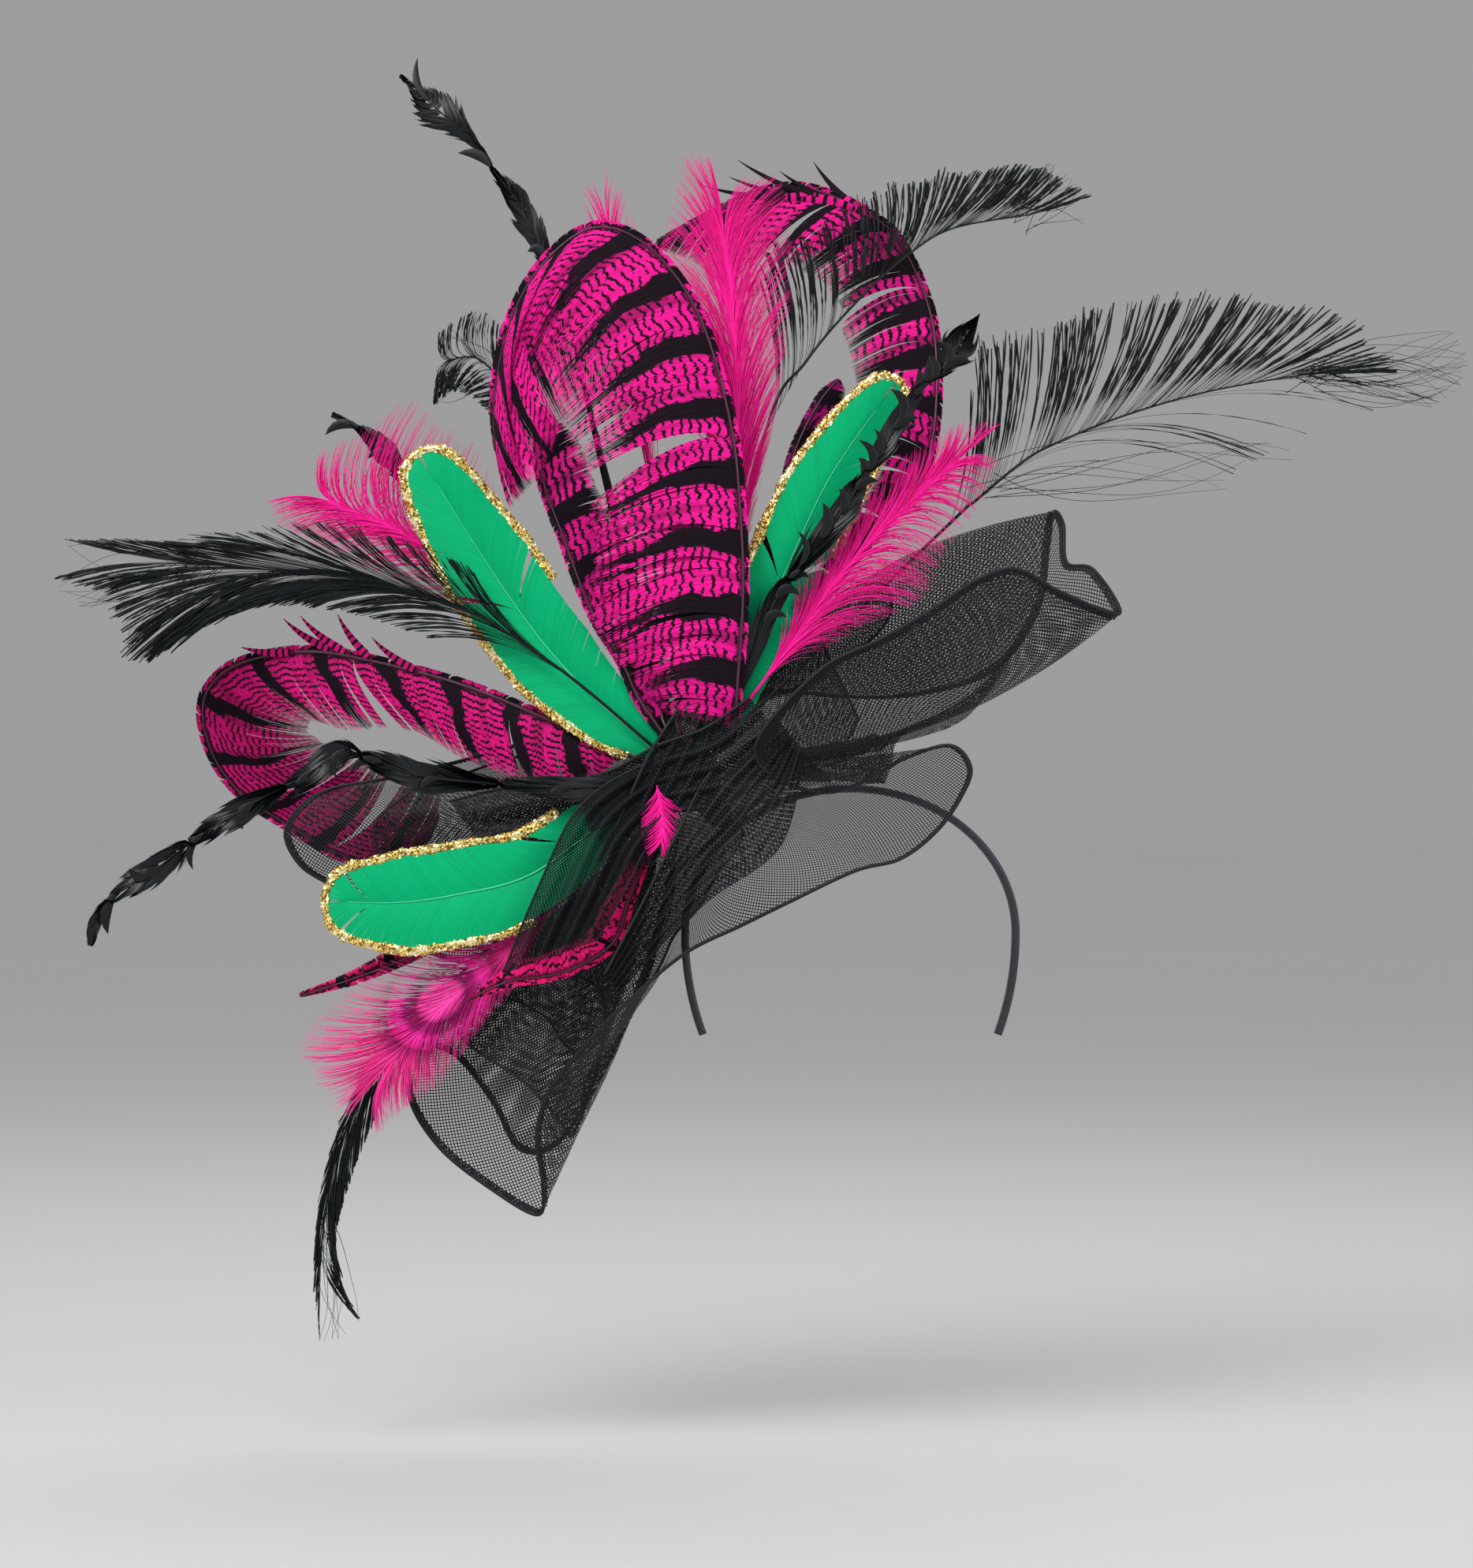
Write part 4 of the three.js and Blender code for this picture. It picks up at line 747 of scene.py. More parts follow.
def barred_group():
    """Broad bars that follow the barbs, and fine broken lines that cross them."""
    tree, given, result = group("barred vane", {
        "Vector": None, "Strand": 0.5, "Bar Period": 3.4, "Bar Share": 0.3, "Bar Slope": 0.03,
        "Line Spacing": 0.6, "Line Share": 0.3, "Line Wave": 1.2,
        "Light": (1, 0.02, 0.35), "Deep": (0.5, 0.01, 0.2), "Dark": (0.005, 0.001, 0.005),
    }, {"Color": "NodeSocketColor"})
    x, y = split_xy(given["Vector"])
    jag = (given["Strand"] - 0.5) * 0.10
    y = y + jag
    slow = streaks(x, y, 0.35, 0.45, 3.0)
    bar = ridged(x / given["Bar Period"] + y * given["Bar Slope"] + slow * 0.45 + jag * 0.25)
    width = given["Bar Share"] * maths("MAXIMUM", 1.22 - y * 0.11, 0.45)
    bar_mask = 1.0 - ease(bar, width, width + 0.05)
    wave = streaks(x, y, 1.5, 0.45, 7.0)
    line = ridged(y / given["Line Spacing"] + wave * (given["Line Wave"] * 3.0))
    line_mask = 1.0 - ease(line, given["Line Share"], given["Line Share"] + 0.12)
    line_mask = line_mask * ease(streaks(x, y, 2.2, 1.1, 1.0, 1.0), 0.37, 0.43)
    patch = streaks(x, y, 0.9, 0.12, 5.0)
    colour = blended(ease(patch, 0.48, 0.66), given["Light"], given["Deep"])
    colour = shaded(colour, 0.78 + given["Strand"] * 0.4)
    root = (1.0 - ease(y, 0.1, 0.35)) * 0.8
    dark = maths("MAXIMUM", maths("MAXIMUM", bar_mask, line_mask), root)
    wire(tree, blended(dark, colour, given["Dark"]), result["Color"])
    return tree


def net_group():
    """Fine threads laid both ways across the cloth, on the bias."""
    inputs = {"Vector": None, "Cells": 6.6, "Thread": 0.26}
    tree, given, result = group("net weave", inputs, {"Thread": "NodeSocketFloat"})
    x, y = split_xy(given["Vector"])
    threads = []
    for turned in (x + y, x - y):
        ridge = ridged(turned * (given["Cells"] * 0.7071))
        threads.append(1.0 - ease(ridge, given["Thread"] - 0.06, given["Thread"] + 0.06))
    wire(tree, maths("MAXIMUM", *threads), result["Thread"])
    return tree


def fibre_group():
    """Fine ridges along a barb, with soft changes of tone from barb to barb."""
    tree, given, result = group("barb tone", {
        "Vector": None, "Strand": 0.5, "Light": (0.5, 0.5, 0.5), "Deep": (0.1, 0.1, 0.1), "Change": 0.5,
    }, {"Color": "NodeSocketColor", "Height": "NodeSocketFloat"})
    x, y = split_xy(given["Vector"])
    tone = (streaks(x, y, 2.0, 0.25, detail=3.0) * 0.6 + given["Strand"] * 0.4) * given["Change"]
    wire(tree, blended(tone, given["Light"], given["Deep"]), result["Color"])
    wire(tree, streaks(x, y, 30.0, 1.2), result["Height"])
    return tree


BARRED = barred_group()
NET = net_group()
FIBRE = fibre_group()

# Materials

BUMP_STRENGTH = 0.5
BARB_BUMP = 0.0002
THREAD_BUMP = 0.0003
FELT_BUMP = 0.0004
NET_ROUGHNESS = 0.5


def material(name, roughness, **fixed):
    """A new material, its tree and its shader's inputs, with plain values set on the shader itself."""
    look = bpy.data.materials.new(name)
    look.use_nodes = True
    shader = look.node_tree.nodes["Principled BSDF"].inputs
    shader["Roughness"].default_value = roughness
    for key, value in fixed.items():
        shader[key.replace("_", " ")].default_value = value
    return look, look.node_tree, shader


def bump(tree, shader, height, distance):
    inputs = {"Strength": BUMP_STRENGTH, "Distance": distance, "Height": height}
    wire(tree, add(tree, "ShaderNodeBump", inputs).outputs[0], shader["Normal"])


def placed(tree, made, values):
    """The outputs of a group in a material, with its values besides the UV."""
    return signals(tree, add(tree, "ShaderNodeGroup", {"Vector": uv_of(tree), **values}, node_tree=made))


def barred_look(name, light, deep, period, share, slope, spacing, line, wave):
    look, tree, shader = material(name, 0.6, Specular_IOR_Level=0.10)
    colour = placed(tree, BARRED, {
        "Strand": strand_of(tree), "Bar Period": period, "Bar Share": share, "Bar Slope": slope,
        "Line Spacing": spacing, "Line Share": line, "Line Wave": wave, "Light": light, "Deep": deep,
    })["Color"]
    wire(tree, colour, shader["Base Color"])
    bump(tree, shader, placed(tree, FIBRE, {"Strand": strand_of(tree)})["Height"], BARB_BUMP)
    return look


def feather_look(name, light, deep, change, roughness, **fixed):
    look, tree, shader = material(name, roughness, **fixed)
    barb = placed(tree, FIBRE, {"Strand": strand_of(tree), "Light": light, "Deep": deep, "Change": change})
    wire(tree, barb["Color"], shader["Base Color"])
    bump(tree, shader, barb["Height"], BARB_BUMP)
    return look


def net_look(name, cells, thread):
    look, tree, shader = material(name, NET_ROUGHNESS, Specular_IOR_Level=0.15)
    threads = placed(tree, NET, {"Cells": cells, "Thread": thread})["Thread"]
    tone = noise(object_point(tree), 30.0)
    wire(tree, blended(tone, (0.005, 0.006, 0.008), (0.012, 0.013, 0.016)), shader["Base Color"])
    wire(tree, threads, shader["Alpha"])
    bump(tree, shader, threads, THREAD_BUMP)
    return look


def satin_look():
    look, tree, shader = material("band satin", 0.32, Coat_Weight=0.15, Coat_Roughness=0.3)
    x, y = split_xy(uv_of(tree))
    weave = streaks(x, y, 12.0, 90.0)
    wrinkle = streaks(x, y, 2.2, 0.8, detail=3.0)
    wire(tree, blended(weave, (0.007, 0.009, 0.014), (0.020, 0.023, 0.032)), shader["Base Color"])
    wire(tree, 0.22 + wrinkle * 0.2, shader["Roughness"])
    bump(tree, shader, weave + wrinkle * 4.0, BARB_BUMP)
    return look


def felt_look(name, scale):
    look, tree, shader = material(name, 0.95, Sheen_Weight=0.2)
    fuzz = noise(object_point(tree), scale, 4.0, 0.7)
    wire(tree, blended(fuzz, (0.006, 0.006, 0.008), (0.02, 0.02, 0.024)), shader["Base Color"])
    bump(tree, shader, fuzz, FELT_BUMP)
    return look


def gold_look():
    look, tree, shader = material("gold glitter", 0.3, Metallic=1.0)
    # Painted glints: fine spots of bright and dark gold in the base colour stand in for flakes catching the light.
    # The same noise also varies the roughness.
    painted_glint = noise(object_point(tree), 900.0, 1.0)
    warm = noise(object_point(tree), 260.0)
    colour = blended(ease(painted_glint, 0.40, 0.55), (0.26, 0.15, 0.02), (0.95, 0.74, 0.26))
    wire(tree, blended(ease(warm, 0.52, 0.62), colour, (1.0, 0.92, 0.58)), shader["Base Color"])
    wire(tree, 0.18 + painted_glint * 0.3, shader["Roughness"])
    return look


# The eye of the low peacock plume: its middle, how far it is turned, its size, and its colours outward
EYE_RIGHT = -0.310
EYE_UP = -0.280
EYE_TURN = -38
EYE_SIZE = (36 * MM, 10, 27 * MM)
EYE_RINGS = [
    (0.00, (1.0, 0.09, 0.50)), (0.15, (1.0, 0.06, 0.45)), (0.20, (0.36, 0.003, 0.14)),
    (0.27, (0.48, 0.005, 0.19)), (0.32, (0.95, 0.03, 0.45)), (0.40, (0.85, 0.02, 0.33)),
    (0.43, (0.50, 0.008, 0.18)), (0.55, (0.95, 0.04, 0.36)), (1.00, (0.95, 0.05, 0.38)),
]


def eye_look():
    """Pink herls with a bright heart and a darker ring, set about the eye's middle."""
    look, tree, shader = material("eye herls", 0.5, Specular_IOR_Level=0.3)
    mapping = add(tree, "ShaderNodeMapping", {
        "Vector": object_point(tree),
        "Location": (HUB.x + EYE_RIGHT * REACH, 0, HUB.z + EYE_UP * REACH),
        "Rotation": (0, math.radians(EYE_TURN), 0),
        "Scale": EYE_SIZE,
    }, vector_type="TEXTURE")
    far = add(tree, "ShaderNodeVectorMath", {0: mapping.outputs[0]}, operation="LENGTH").outputs["Value"]
    rings = add(tree, "ShaderNodeValToRGB", {0: Signal(tree, far) / 2.0})
    ramp = rings.color_ramp.elements
    while len(ramp) < len(EYE_RINGS):
        ramp.new(0.5)
    for element, (spot, colour) in zip(ramp, EYE_RINGS):
        element.position = spot
        element.color = (*colour, 1)
    shade = 0.75 + strand_of(tree) * 0.45
    wire(tree, shaded(Signal(tree, rings.outputs[0]), shade), shader["Base Color"])
    return look


# Barred feathers: light and deep colour, bar period, share and slope, line spacing, share and wave
BARRED_LOOKS = {
    "pheasant_main": ("barred pink", (0.78, 0.005, 0.26), (0.42, 0.003, 0.14), 3.4, 0.30, 0.020, 0.48, 0.27, 0.65),
    "pheasant_inner": ("barred inner", (0.60, 0.005, 0.20), (0.28, 0.002, 0.10), 3.0, 0.34, 0.03, 0.45, 0.36, 0.6),
    "pheasant_right": ("barred right", (0.72, 0.005, 0.24), (0.26, 0.002, 0.09), 2.6, 0.36, 0.05, 0.50, 0.34, 0.5),
    "pheasant_dark": ("barred dark", (0.30, 0.003, 0.14), (0.14, 0.002, 0.07), 2.6, 0.36, 0.04, 0.40, 0.42, 1.0),
    "pheasant_left": ("barred left", (0.60, 0.004, 0.17), (0.36, 0.003, 0.10), 3.4, 0.20, 0.05, 0.34, 0.34, 0.6),
    "pheasant_low": ("barred low", (0.95, 0.01, 0.20), (0.70, 0.008, 0.14), 6.0, 0.04, 0.1, 0.5, 0.24, 1.2),
    "pheasant_sliver": ("barred sliver", (0.75, 0.01, 0.16), (0.5, 0.006, 0.12), 3.0, 0.16, 0.1, 0.35, 0.34, 1.2),
}
# Plain feathers: light and deep colour, how much the tone changes, roughness and specular level
FEATHER_LOOKS = {
    "cord": ("corded rim", (0.004, 0.005, 0.006), (0.014, 0.015, 0.018), 0.6, 0.55, 0.25),
    "quill": ("dark quill", (0.035, 0.01, 0.02), (0.09, 0.02, 0.05), 0.7, 0.35, 0.5),
    "green": ("emerald vane", (0.0, 0.42, 0.17), (0.0, 0.28, 0.10), 0.8, 0.6, 0.08),
    "vein": ("pale vein", (0.05, 0.62, 0.32), (0.0, 0.35, 0.16), 0.6, 0.4, 0.5),
    "pink": ("pink herl", (0.95, 0.016, 0.38), (0.80, 0.006, 0.25), 0.9, 0.55, 0.15),
    "black": ("black herl", (0.003, 0.004, 0.005), (0.006, 0.013, 0.013), 0.8, 0.45, 0.2),
    "blade": ("satin blade", (0.002, 0.003, 0.004), (0.006, 0.008, 0.010), 0.9, 0.38, 0.25),
}
LOOKS = {
    "satin": satin_look(),
    "felt": felt_look("black felt", 900.0),
    "binding": felt_look("binding thread", 1500.0),
    "net": net_look("crinoline net", 6.6, 0.33),
    "hem": net_look("crinoline hem", 9.0, 0.62),
    "gold": gold_look(),
    "eye": eye_look(),
}
for key, values in BARRED_LOOKS.items():
    LOOKS[key] = barred_look(*values)
for key, (*values, specular) in FEATHER_LOOKS.items():
    LOOKS[key] = feather_look(*values, Specular_IOR_Level=specular)


# Headband, the felt base and the bound stems

ARC_STEPS = 150
LEG_STEPS = 34
CORNER_STEPS = 5
BAND_CORNER = 1.1 * MM
DISC_SIDES = 96
DISC_RINGS = (0.02, 0.5, 0.9)
DISC_EDGE_STEPS = 7
THREAD_PITCH = 1.1 * MM
THREAD_RIPPLE = 0.3 * MM
THREAD_STEPS = 4
ROD_SIDES = 28


def band_line():
    """The band's middle line: a leg, the arc over the crown and the other leg."""
    leg = []
    for k in range(LEG_STEPS, 0, -1):
        drop = BAND_LEG_RUN * k / LEG_STEPS
        side = BAND_HALF_WIDTH * math.sqrt(1 - (drop / BAND_LEG_CURVE) ** 2)
        leg.append((-side, BAND_THICKNESS / 2 - BAND_CROWN_HEIGHT - drop))
    turns = [math.pi * (k / ARC_STEPS - 0.5) for k in range(ARC_STEPS + 1)]
    arc = [
        (BAND_HALF_WIDTH * math.sin(turn), BAND_THICKNESS / 2 - BAND_CROWN_HEIGHT * (1 - math.cos(turn)))
        for turn in turns
    ]
    return np.array([[x, 0.0, z] for x, z in leg + arc + [(-x, z) for x, z in reversed(leg)]])


def rounded_section(wide, thick, corner):
    points = []
    for x, y, start in ((1, 1, 0), (-1, 1, 90), (-1, -1, 180), (1, -1, 270)):
        for k in range(CORNER_STEPS):
            turn = math.radians(start + 90 * k / (CORNER_STEPS - 1))
            across, front = x * (wide - corner), y * (thick - corner)
            points.append((across + corner * math.cos(turn), front + corner * math.sin(turn)))
    return points


def disc_ring(radius, rise):
    """A ring of points about the base's middle, square to its tilted axis."""
    turns = np.linspace(0, 2 * math.pi, DISC_SIDES, endpoint=False)
    spokes = np.outer(np.cos(turns), (base_normal.z, 0, -base_normal.x)) + np.outer(np.sin(turns), FRONT_BACK)
    return np.array(base_foot + base_normal * rise) + spokes * radius


def base_felt():
    edge = BASE_THICKNESS / 2
    flat = BASE_RADIUS - edge
    turns = np.linspace(-math.pi / 2, math.pi / 2, DISC_EDGE_STEPS)
    rings = [disc_ring(share * flat, 0) for share in DISC_RINGS]
    rings += [disc_ring(flat + edge * math.cos(turn), edge + edge * math.sin(turn)) for turn in turns]
    rings += [disc_ring(share * flat, BASE_THICKNESS) for share in reversed(DISC_RINGS)]
    faces = grid_faces(len(rings), DISC_SIDES, True).tolist()
    last = (len(rings) - 1) * DISC_SIDES
    faces += [list(range(DISC_SIDES))[::-1], list(range(last, last + DISC_SIDES))]
    uv = np.array(rings).reshape(-1, 3)[:, :2] * CENTIMETRES
    make("base_felt", "base_disc", rings, [face[::-1] for face in faces], "felt", uv)


def wound(name, node, start, end, radius):
    """A rod wound with thread: a closed lathe with one ripple a turn."""
    axis = end - start
    wraps = axis.length / THREAD_PITCH
    share = np.linspace(0, 1, int(wraps) * THREAD_STEPS)
    swell = radius - THREAD_RIPPLE + THREAD_RIPPLE * np.abs(np.sin(share * wraps * math.pi))
    ends = np.minimum(1, 5 * np.minimum(share, 1 - share))
    swell = np.minimum(swell, radius) * np.sqrt(1 - 0.9 * (1 - ends) ** 2)
    path = np.array(start)[None] + share[:, None] * np.array(axis)[None]
    turns = np.linspace(0, 2 * math.pi, ROD_SIDES, endpoint=False)
    circle = [(math.cos(turn), math.sin(turn)) for turn in turns]
    across = FRONT_BACK if abs(axis.normalized().y) < 0.5 else (1, 0, 0)
    closed_sweep(name, node, path, swell, circle, across, "binding")


section = rounded_section(BAND_WIDTH / 2, BAND_THICKNESS / 2, BAND_CORNER)
closed_sweep("headband_satin", "headband", band_line(), 1.0, section, FRONT_BACK, "satin")
base_felt()
half_drum = Vector((0, HUB_LENGTH / 2, 0))
wound("stem_drum", "stem_binding", HUB - half_drum, HUB + half_drum, HUB_RADIUS)
wound("stem_stalk", "stem_binding", stalk_foot, HUB, STALK_RADIUS)


# Geometry Nodes: stitches along a path and glitter over a strip

def geometry_tree(name, inputs):
    """A Geometry Nodes tree, the outputs that hold its inputs, and the identifiers of these."""
    tree = bpy.data.node_groups.new(name, "GeometryNodeTree")
    kinds = {"Geometry": "NodeSocketGeometry", **inputs, "Look": "NodeSocketMaterial"}
    sockets = {}
    for label, kind in kinds.items():
        sockets[label] = tree.interface.new_socket(label, in_out="INPUT", socket_type=kind).identifier
    tree.interface.new_socket("Geometry", in_out="OUTPUT", socket_type="NodeSocketGeometry")
    return tree, tree.nodes.new("NodeGroupInput").outputs, sockets


def real_copies(tree, points, shape, rotation, scale, look):
    """Copies of a shape on points, made real and given their look, as the tree's result."""
    inputs = {"Points": points, "Instance": shape, "Rotation": rotation, "Scale": scale}
    copies = add(tree, "GeometryNodeInstanceOnPoints", inputs)
    real = add(tree, "GeometryNodeRealizeInstances", {0: copies.outputs[0]})
    paint = add(tree, "GeometryNodeSetMaterial", {0: real.outputs[0], "Material": look})
    wire(tree, paint.outputs[0], tree.nodes.new("NodeGroupOutput").inputs[0])


def stitch_tree():
    """Small stretched balls along a path."""
    tree, given, sockets = geometry_tree("stitches along a path", {
        "Spacing": "NodeSocketFloat", "Length": "NodeSocketFloat", "Radius": "NodeSocketFloat",
    })
    curve = add(tree, "GeometryNodeMeshToCurve", {"Mesh": given["Geometry"]}).outputs["Curve"]
    inputs = {"Curve": curve, "Length": given["Spacing"]}
    points = add(tree, "GeometryNodeCurveToPoints", inputs, mode="LENGTH").outputs
    ball = add(tree, "GeometryNodeMeshUVSphere", {"Segments": 6, "Rings": 4, "Radius": given["Radius"]})
    stretch = Signal(tree, given["Length"]) / (Signal(tree, given["Radius"]) * 2.0)
    aim = add(tree, "FunctionNodeAlignRotationToVector", {"Vector": points["Tangent"]}, axis="Z")
    size = combined(1.0, 1.0, stretch)
    real_copies(tree, points["Points"], ball.outputs["Mesh"], aim.outputs[0], size, given["Look"])
    return tree, sockets


def flake_tree():
    """Short five-sided grains strewn over a strip, each turned and sized at random."""
    tree, given, sockets = geometry_tree("glitter over a strip", {
        "Density": "NodeSocketFloat", "Size": "NodeSocketFloat", "Seed": "NodeSocketInt",
    })
    inputs = {"Mesh": given["Geometry"], "Density": given["Density"], "Seed": given["Seed"]}
    spread = add(tree, "GeometryNodeDistributePointsOnFaces", inputs).outputs
    inputs = {"Vertices": 5, "Radius": given["Size"], "Depth": Signal(tree, given["Size"]) * 0.5}
    grain = add(tree, "GeometryNodeMeshCylinder", inputs)
    inputs = {0: (-0.9, -0.9, 0), 1: (0.9, 0.9, 6.28)}
    turn = add(tree, "FunctionNodeRandomValue", inputs, data_type="FLOAT_VECTOR")
    tilt = add(tree, "FunctionNodeEulerToRotation", {0: turn.outputs[0]})
    inputs = {0: spread["Rotation"], 1: tilt.outputs[0]}
    join = add(tree, "FunctionNodeRotateRotation", inputs, rotation_space="LOCAL")
    size = add(tree, "FunctionNodeRandomValue", {2: 0.55, 3: 1.35}, data_type="FLOAT").outputs[1]
    real_copies(tree, spread["Points"], grain.outputs["Mesh"], join.outputs[0], size, given["Look"])
    return tree, sockets


STITCHES = stitch_tree()
FLAKES = flake_tree()


def grown(name, node, base_mesh, made, values, look):
    """The plain mesh that a Geometry Nodes tree makes from a base mesh."""
    tree, sockets = made
    holder = linked(name + "_base", base_mesh)
    modifier = holder.modifiers.new("grow", "NODES")
    modifier.node_group = tree
    for label, value in values.items():
        modifier[sockets[label]] = value
    modifier[sockets["Look"]] = LOOKS[look]
    shown = holder.evaluated_get(bpy.context.evaluated_depsgraph_get())
    mesh = bpy.data.meshes.new_from_object(shown)
    bpy.data.objects.remove(holder)
    mesh.name = name
    mesh.materials.clear()
    mesh.materials.append(LOOKS[look])
    return registered(linked(name, mesh), node)


def loop_mesh(name, points):
    mesh = bpy.data.meshes.new(name)
    mesh.from_pydata(points.tolist(), [(k, (k + 1) % len(points)) for k in range(len(points))], [])
    return mesh


# Crinoline: one long ruffle gathered on the stems, with a stitched hem and a corded rim

RIM_STEPS = 10
NET_COLUMNS = 45
MEASURED_COLUMN = -8
HEM = 1.8 * MM
HEM_COLUMNS = 5
HEM_OFF = 0.5
STITCH_OFF = 0.7
CORD_RADIUS = 0.95 * MM
RUFFLE_LENGTH = 120 * MM
GATHER_DEPTH = 1.3 * MM
GATHERS = 58
FULLNESS = 1.25


def cloth_points(rows, share):
    """Points of the ruffle for every rim row (down) and share from the stems to the rim (across)."""
    right, up, front, turn, gather, side, out, bow = (rows[:, k][:, None] for k in range(8))
    share = np.asarray(share)[None, :]
    root_right = drum_radius(2 * SEAT_GAP) * np.cos(np.radians(turn))
    root_up = drum_radius(2 * SEAT_GAP) * np.sin(np.radians(turn))
    length = np.hypot(right, up)
    way_right, way_up = right / length, up / length
    belly = 4 * share * (1 - share)
    return place(
        root_right + (right - root_right) * share + belly * (out * way_right - side * way_up),
        root_up + (up - root_up) * share + belly * (out * way_up + side * way_right),
        gather + (front - gather) * share + belly * bow,
    )


def closed(rows):
    """Rows of a ring with the first row again at the end."""
    return np.concatenate([rows, rows[:1]])


def ring_normals(grid):
    """Directions square to a ruffle that closes on itself."""
    looped = np.concatenate([grid[-1:], grid, grid[:1]])
    return unit(np.cross(np.gradient(looped, axis=0)[1:-1], np.gradient(grid, axis=1)))


def declare(piece, length, with_pieces):
    """Works out a gathered sheet's flat width, its built one with a quarter added for gathers, and keeps no
    result.
    """
    area = sum(polygon.area for polygon in piece.data.polygons)
    FULLNESS * area / length


rim_rows = smooth_rows(BRIM_ROWS, RIM_STEPS, closed=True, lap=3)
shares = np.linspace(0, 1, NET_COLUMNS)
net = cloth_points(rim_rows, shares)
lap = np.arange(len(net)) / len(net)
pleat = np.sin(lap * GATHERS * 2 * math.pi + 3 * np.sin(lap * 14 * math.pi))[:, None]
fade = (np.clip(shares * 6, 0, 1) * np.exp(-shares * 2.6))[None, :]
net = net + ring_normals(net) * (pleat * fade)[:, :, None] * GATHER_DEPTH
rim_run = travelled(closed(net[:, MEASURED_COLUMN])) * CENTIMETRES
rim_length = float(rim_run[-1]) / CENTIMETRES
uv = uv_grid(rim_run[:, None], travelled(closed(net), 1) * CENTIMETRES)
brim_net = cloth("brim_net", "brim", closed(net), uv)

hem_share = np.linspace(1 - HEM / RUFFLE_LENGTH, 1, HEM_COLUMNS)
hem = cloth_points(rim_rows, hem_share)
hem_normal = unit(np.cross(np.gradient(hem, axis=0), np.gradient(hem, axis=1)))
hem_parts = []
for name, side in (("brim_hem_front", 1), ("brim_hem_back", -1)):
    uv = uv_grid(rim_run[:, None], hem_share * 12)
    hem_parts.append(cloth(name, "brim", closed(hem + hem_normal * side * HEM_OFF * MM), uv, "hem"))
hem_parts.append(cord("brim_cord", "brim", closed(cloth_points(rim_rows, [1.0])[:, 0]), CORD_RADIUS))
stitch_path = loop_mesh("stitch path", hem[:, 0] + hem_normal[:, 0] * STITCH_OFF * MM)
stitch_sizes = {"Spacing": 2.6 * MM, "Length": 1.9 * MM, "Radius": 0.32 * MM}
hem_parts.append(grown("brim_stitches", "brim", stitch_path, STITCHES, stitch_sizes, "cord"))
declare(brim_net, rim_length, hem_parts)

# A shorter second layer under the ruffle. Each row: the turn on the stems, and how far out the layer goes
UNDER_ROWS = [
    [256, 0.80], [290, 0.45], [320, 0.20], [382, 0.20], [404, 0.60], [420, 0.80], [440, 0.70], [600, 0.74],
    [616, 0.80],
]
UNDER_WAVE = 0.05
UNDER_WAVES = 11
UNDER_GAP = 2.2 * MM
UNDER_COLUMNS = 30
UNDER_CORD = 0.7 * MM

under_share = np.interp(rim_rows[:, 3], *np.array(UNDER_ROWS).T)
under_share += UNDER_WAVE * np.sin(lap * UNDER_WAVES * 2 * math.pi)
under = np.stack([sample(row, np.linspace(0.02, share, UNDER_COLUMNS)) for row, share in zip(net, under_share)])
under_drop = UNDER_GAP * np.clip(np.linspace(0, 4, UNDER_COLUMNS), 0, 1)
under = closed(under - ring_normals(under) * under_drop[None, :, None])
uv = uv_grid(rim_run[:, None], np.linspace(0, 11, UNDER_COLUMNS) * 0.9 + 0.37)
under_net = cloth("brim_under_net", "brim", under, uv)
declare(under_net, rim_length, [cord("brim_under_cord", "brim", under[:, -1], UNDER_CORD)])

# Sheets folded across the front of the stems. Each row: one edge and its depth, the other edge and its depth
FRONT_FOLDS = [
    dict(name="brim_centre_fold", pleats=4, rows=[
        [-0.010, 0.085, 0.050, 0.050, 0.075, 0.050],
        [-0.045, 0.030, 0.060, 0.035, 0.010, 0.060],
        [-0.075, -0.035, 0.066, 0.000, -0.050, 0.066],
        [-0.108, -0.105, 0.070, -0.040, -0.110, 0.072],
    ]),
    dict(name="brim_front_fold", pleats=5, rows=[
        [0.118, 0.070, 0.060, 0.150, 0.030, 0.095],
        [0.035, 0.010, 0.058, 0.120, -0.085, 0.120],
        [-0.010, -0.070, 0.072, 0.035, -0.150, 0.112],
        [-0.055, -0.160, 0.088, -0.025, -0.205, 0.110],
        [-0.100, -0.245, 0.100, -0.082, -0.270, 0.108],
    ]),
    dict(name="brim_heart_fold", pleats=4, rows=[
        [0.080, 0.100, 0.045, 0.135, 0.040, 0.060],
        [0.025, 0.062, 0.056, 0.070, -0.025, 0.068],
        [-0.035, 0.040, 0.056, -0.012, -0.042, 0.064],
        [-0.090, 0.010, 0.044, -0.070, -0.050, 0.056],
        [-0.140, -0.005, 0.030, -0.120, -0.070, 0.050],
    ]),
]
NET_LAYERS = 2
LAYER_GAP = 1.1 * MM
LAYER_SHIFT = 0.041
PLEAT_COLUMNS = 12
FOLD_STEPS = 16
FOLD_DEPTH = 1.6
FOLD_FULLER = 1.15
FOLD_CORD = 0.8 * MM
STRIP_STEPS = 14
STRIP_FULLER = 1.2
STRIP_CORD = 0.6 * MM


def linings(name, node, grid, uv, step):
    """Further layers of net behind a folded sheet."""
    layers = []
    for layer in range(1, NET_LAYERS):
        behind = grid[::step, ::step] + np.array([0.0, layer * LAYER_GAP, 0.0])
        layers.append(cloth(f"{name}_lining_{layer}", node, behind, uv[::step, ::step] + layer * LAYER_SHIFT))
    return layers


def between(run, first, last, share):
    """Values at shares of the way from one column of a run to another."""
    return run[:, first:first + 1] + (run[:, last:last + 1] - run[:, first:first + 1]) * share


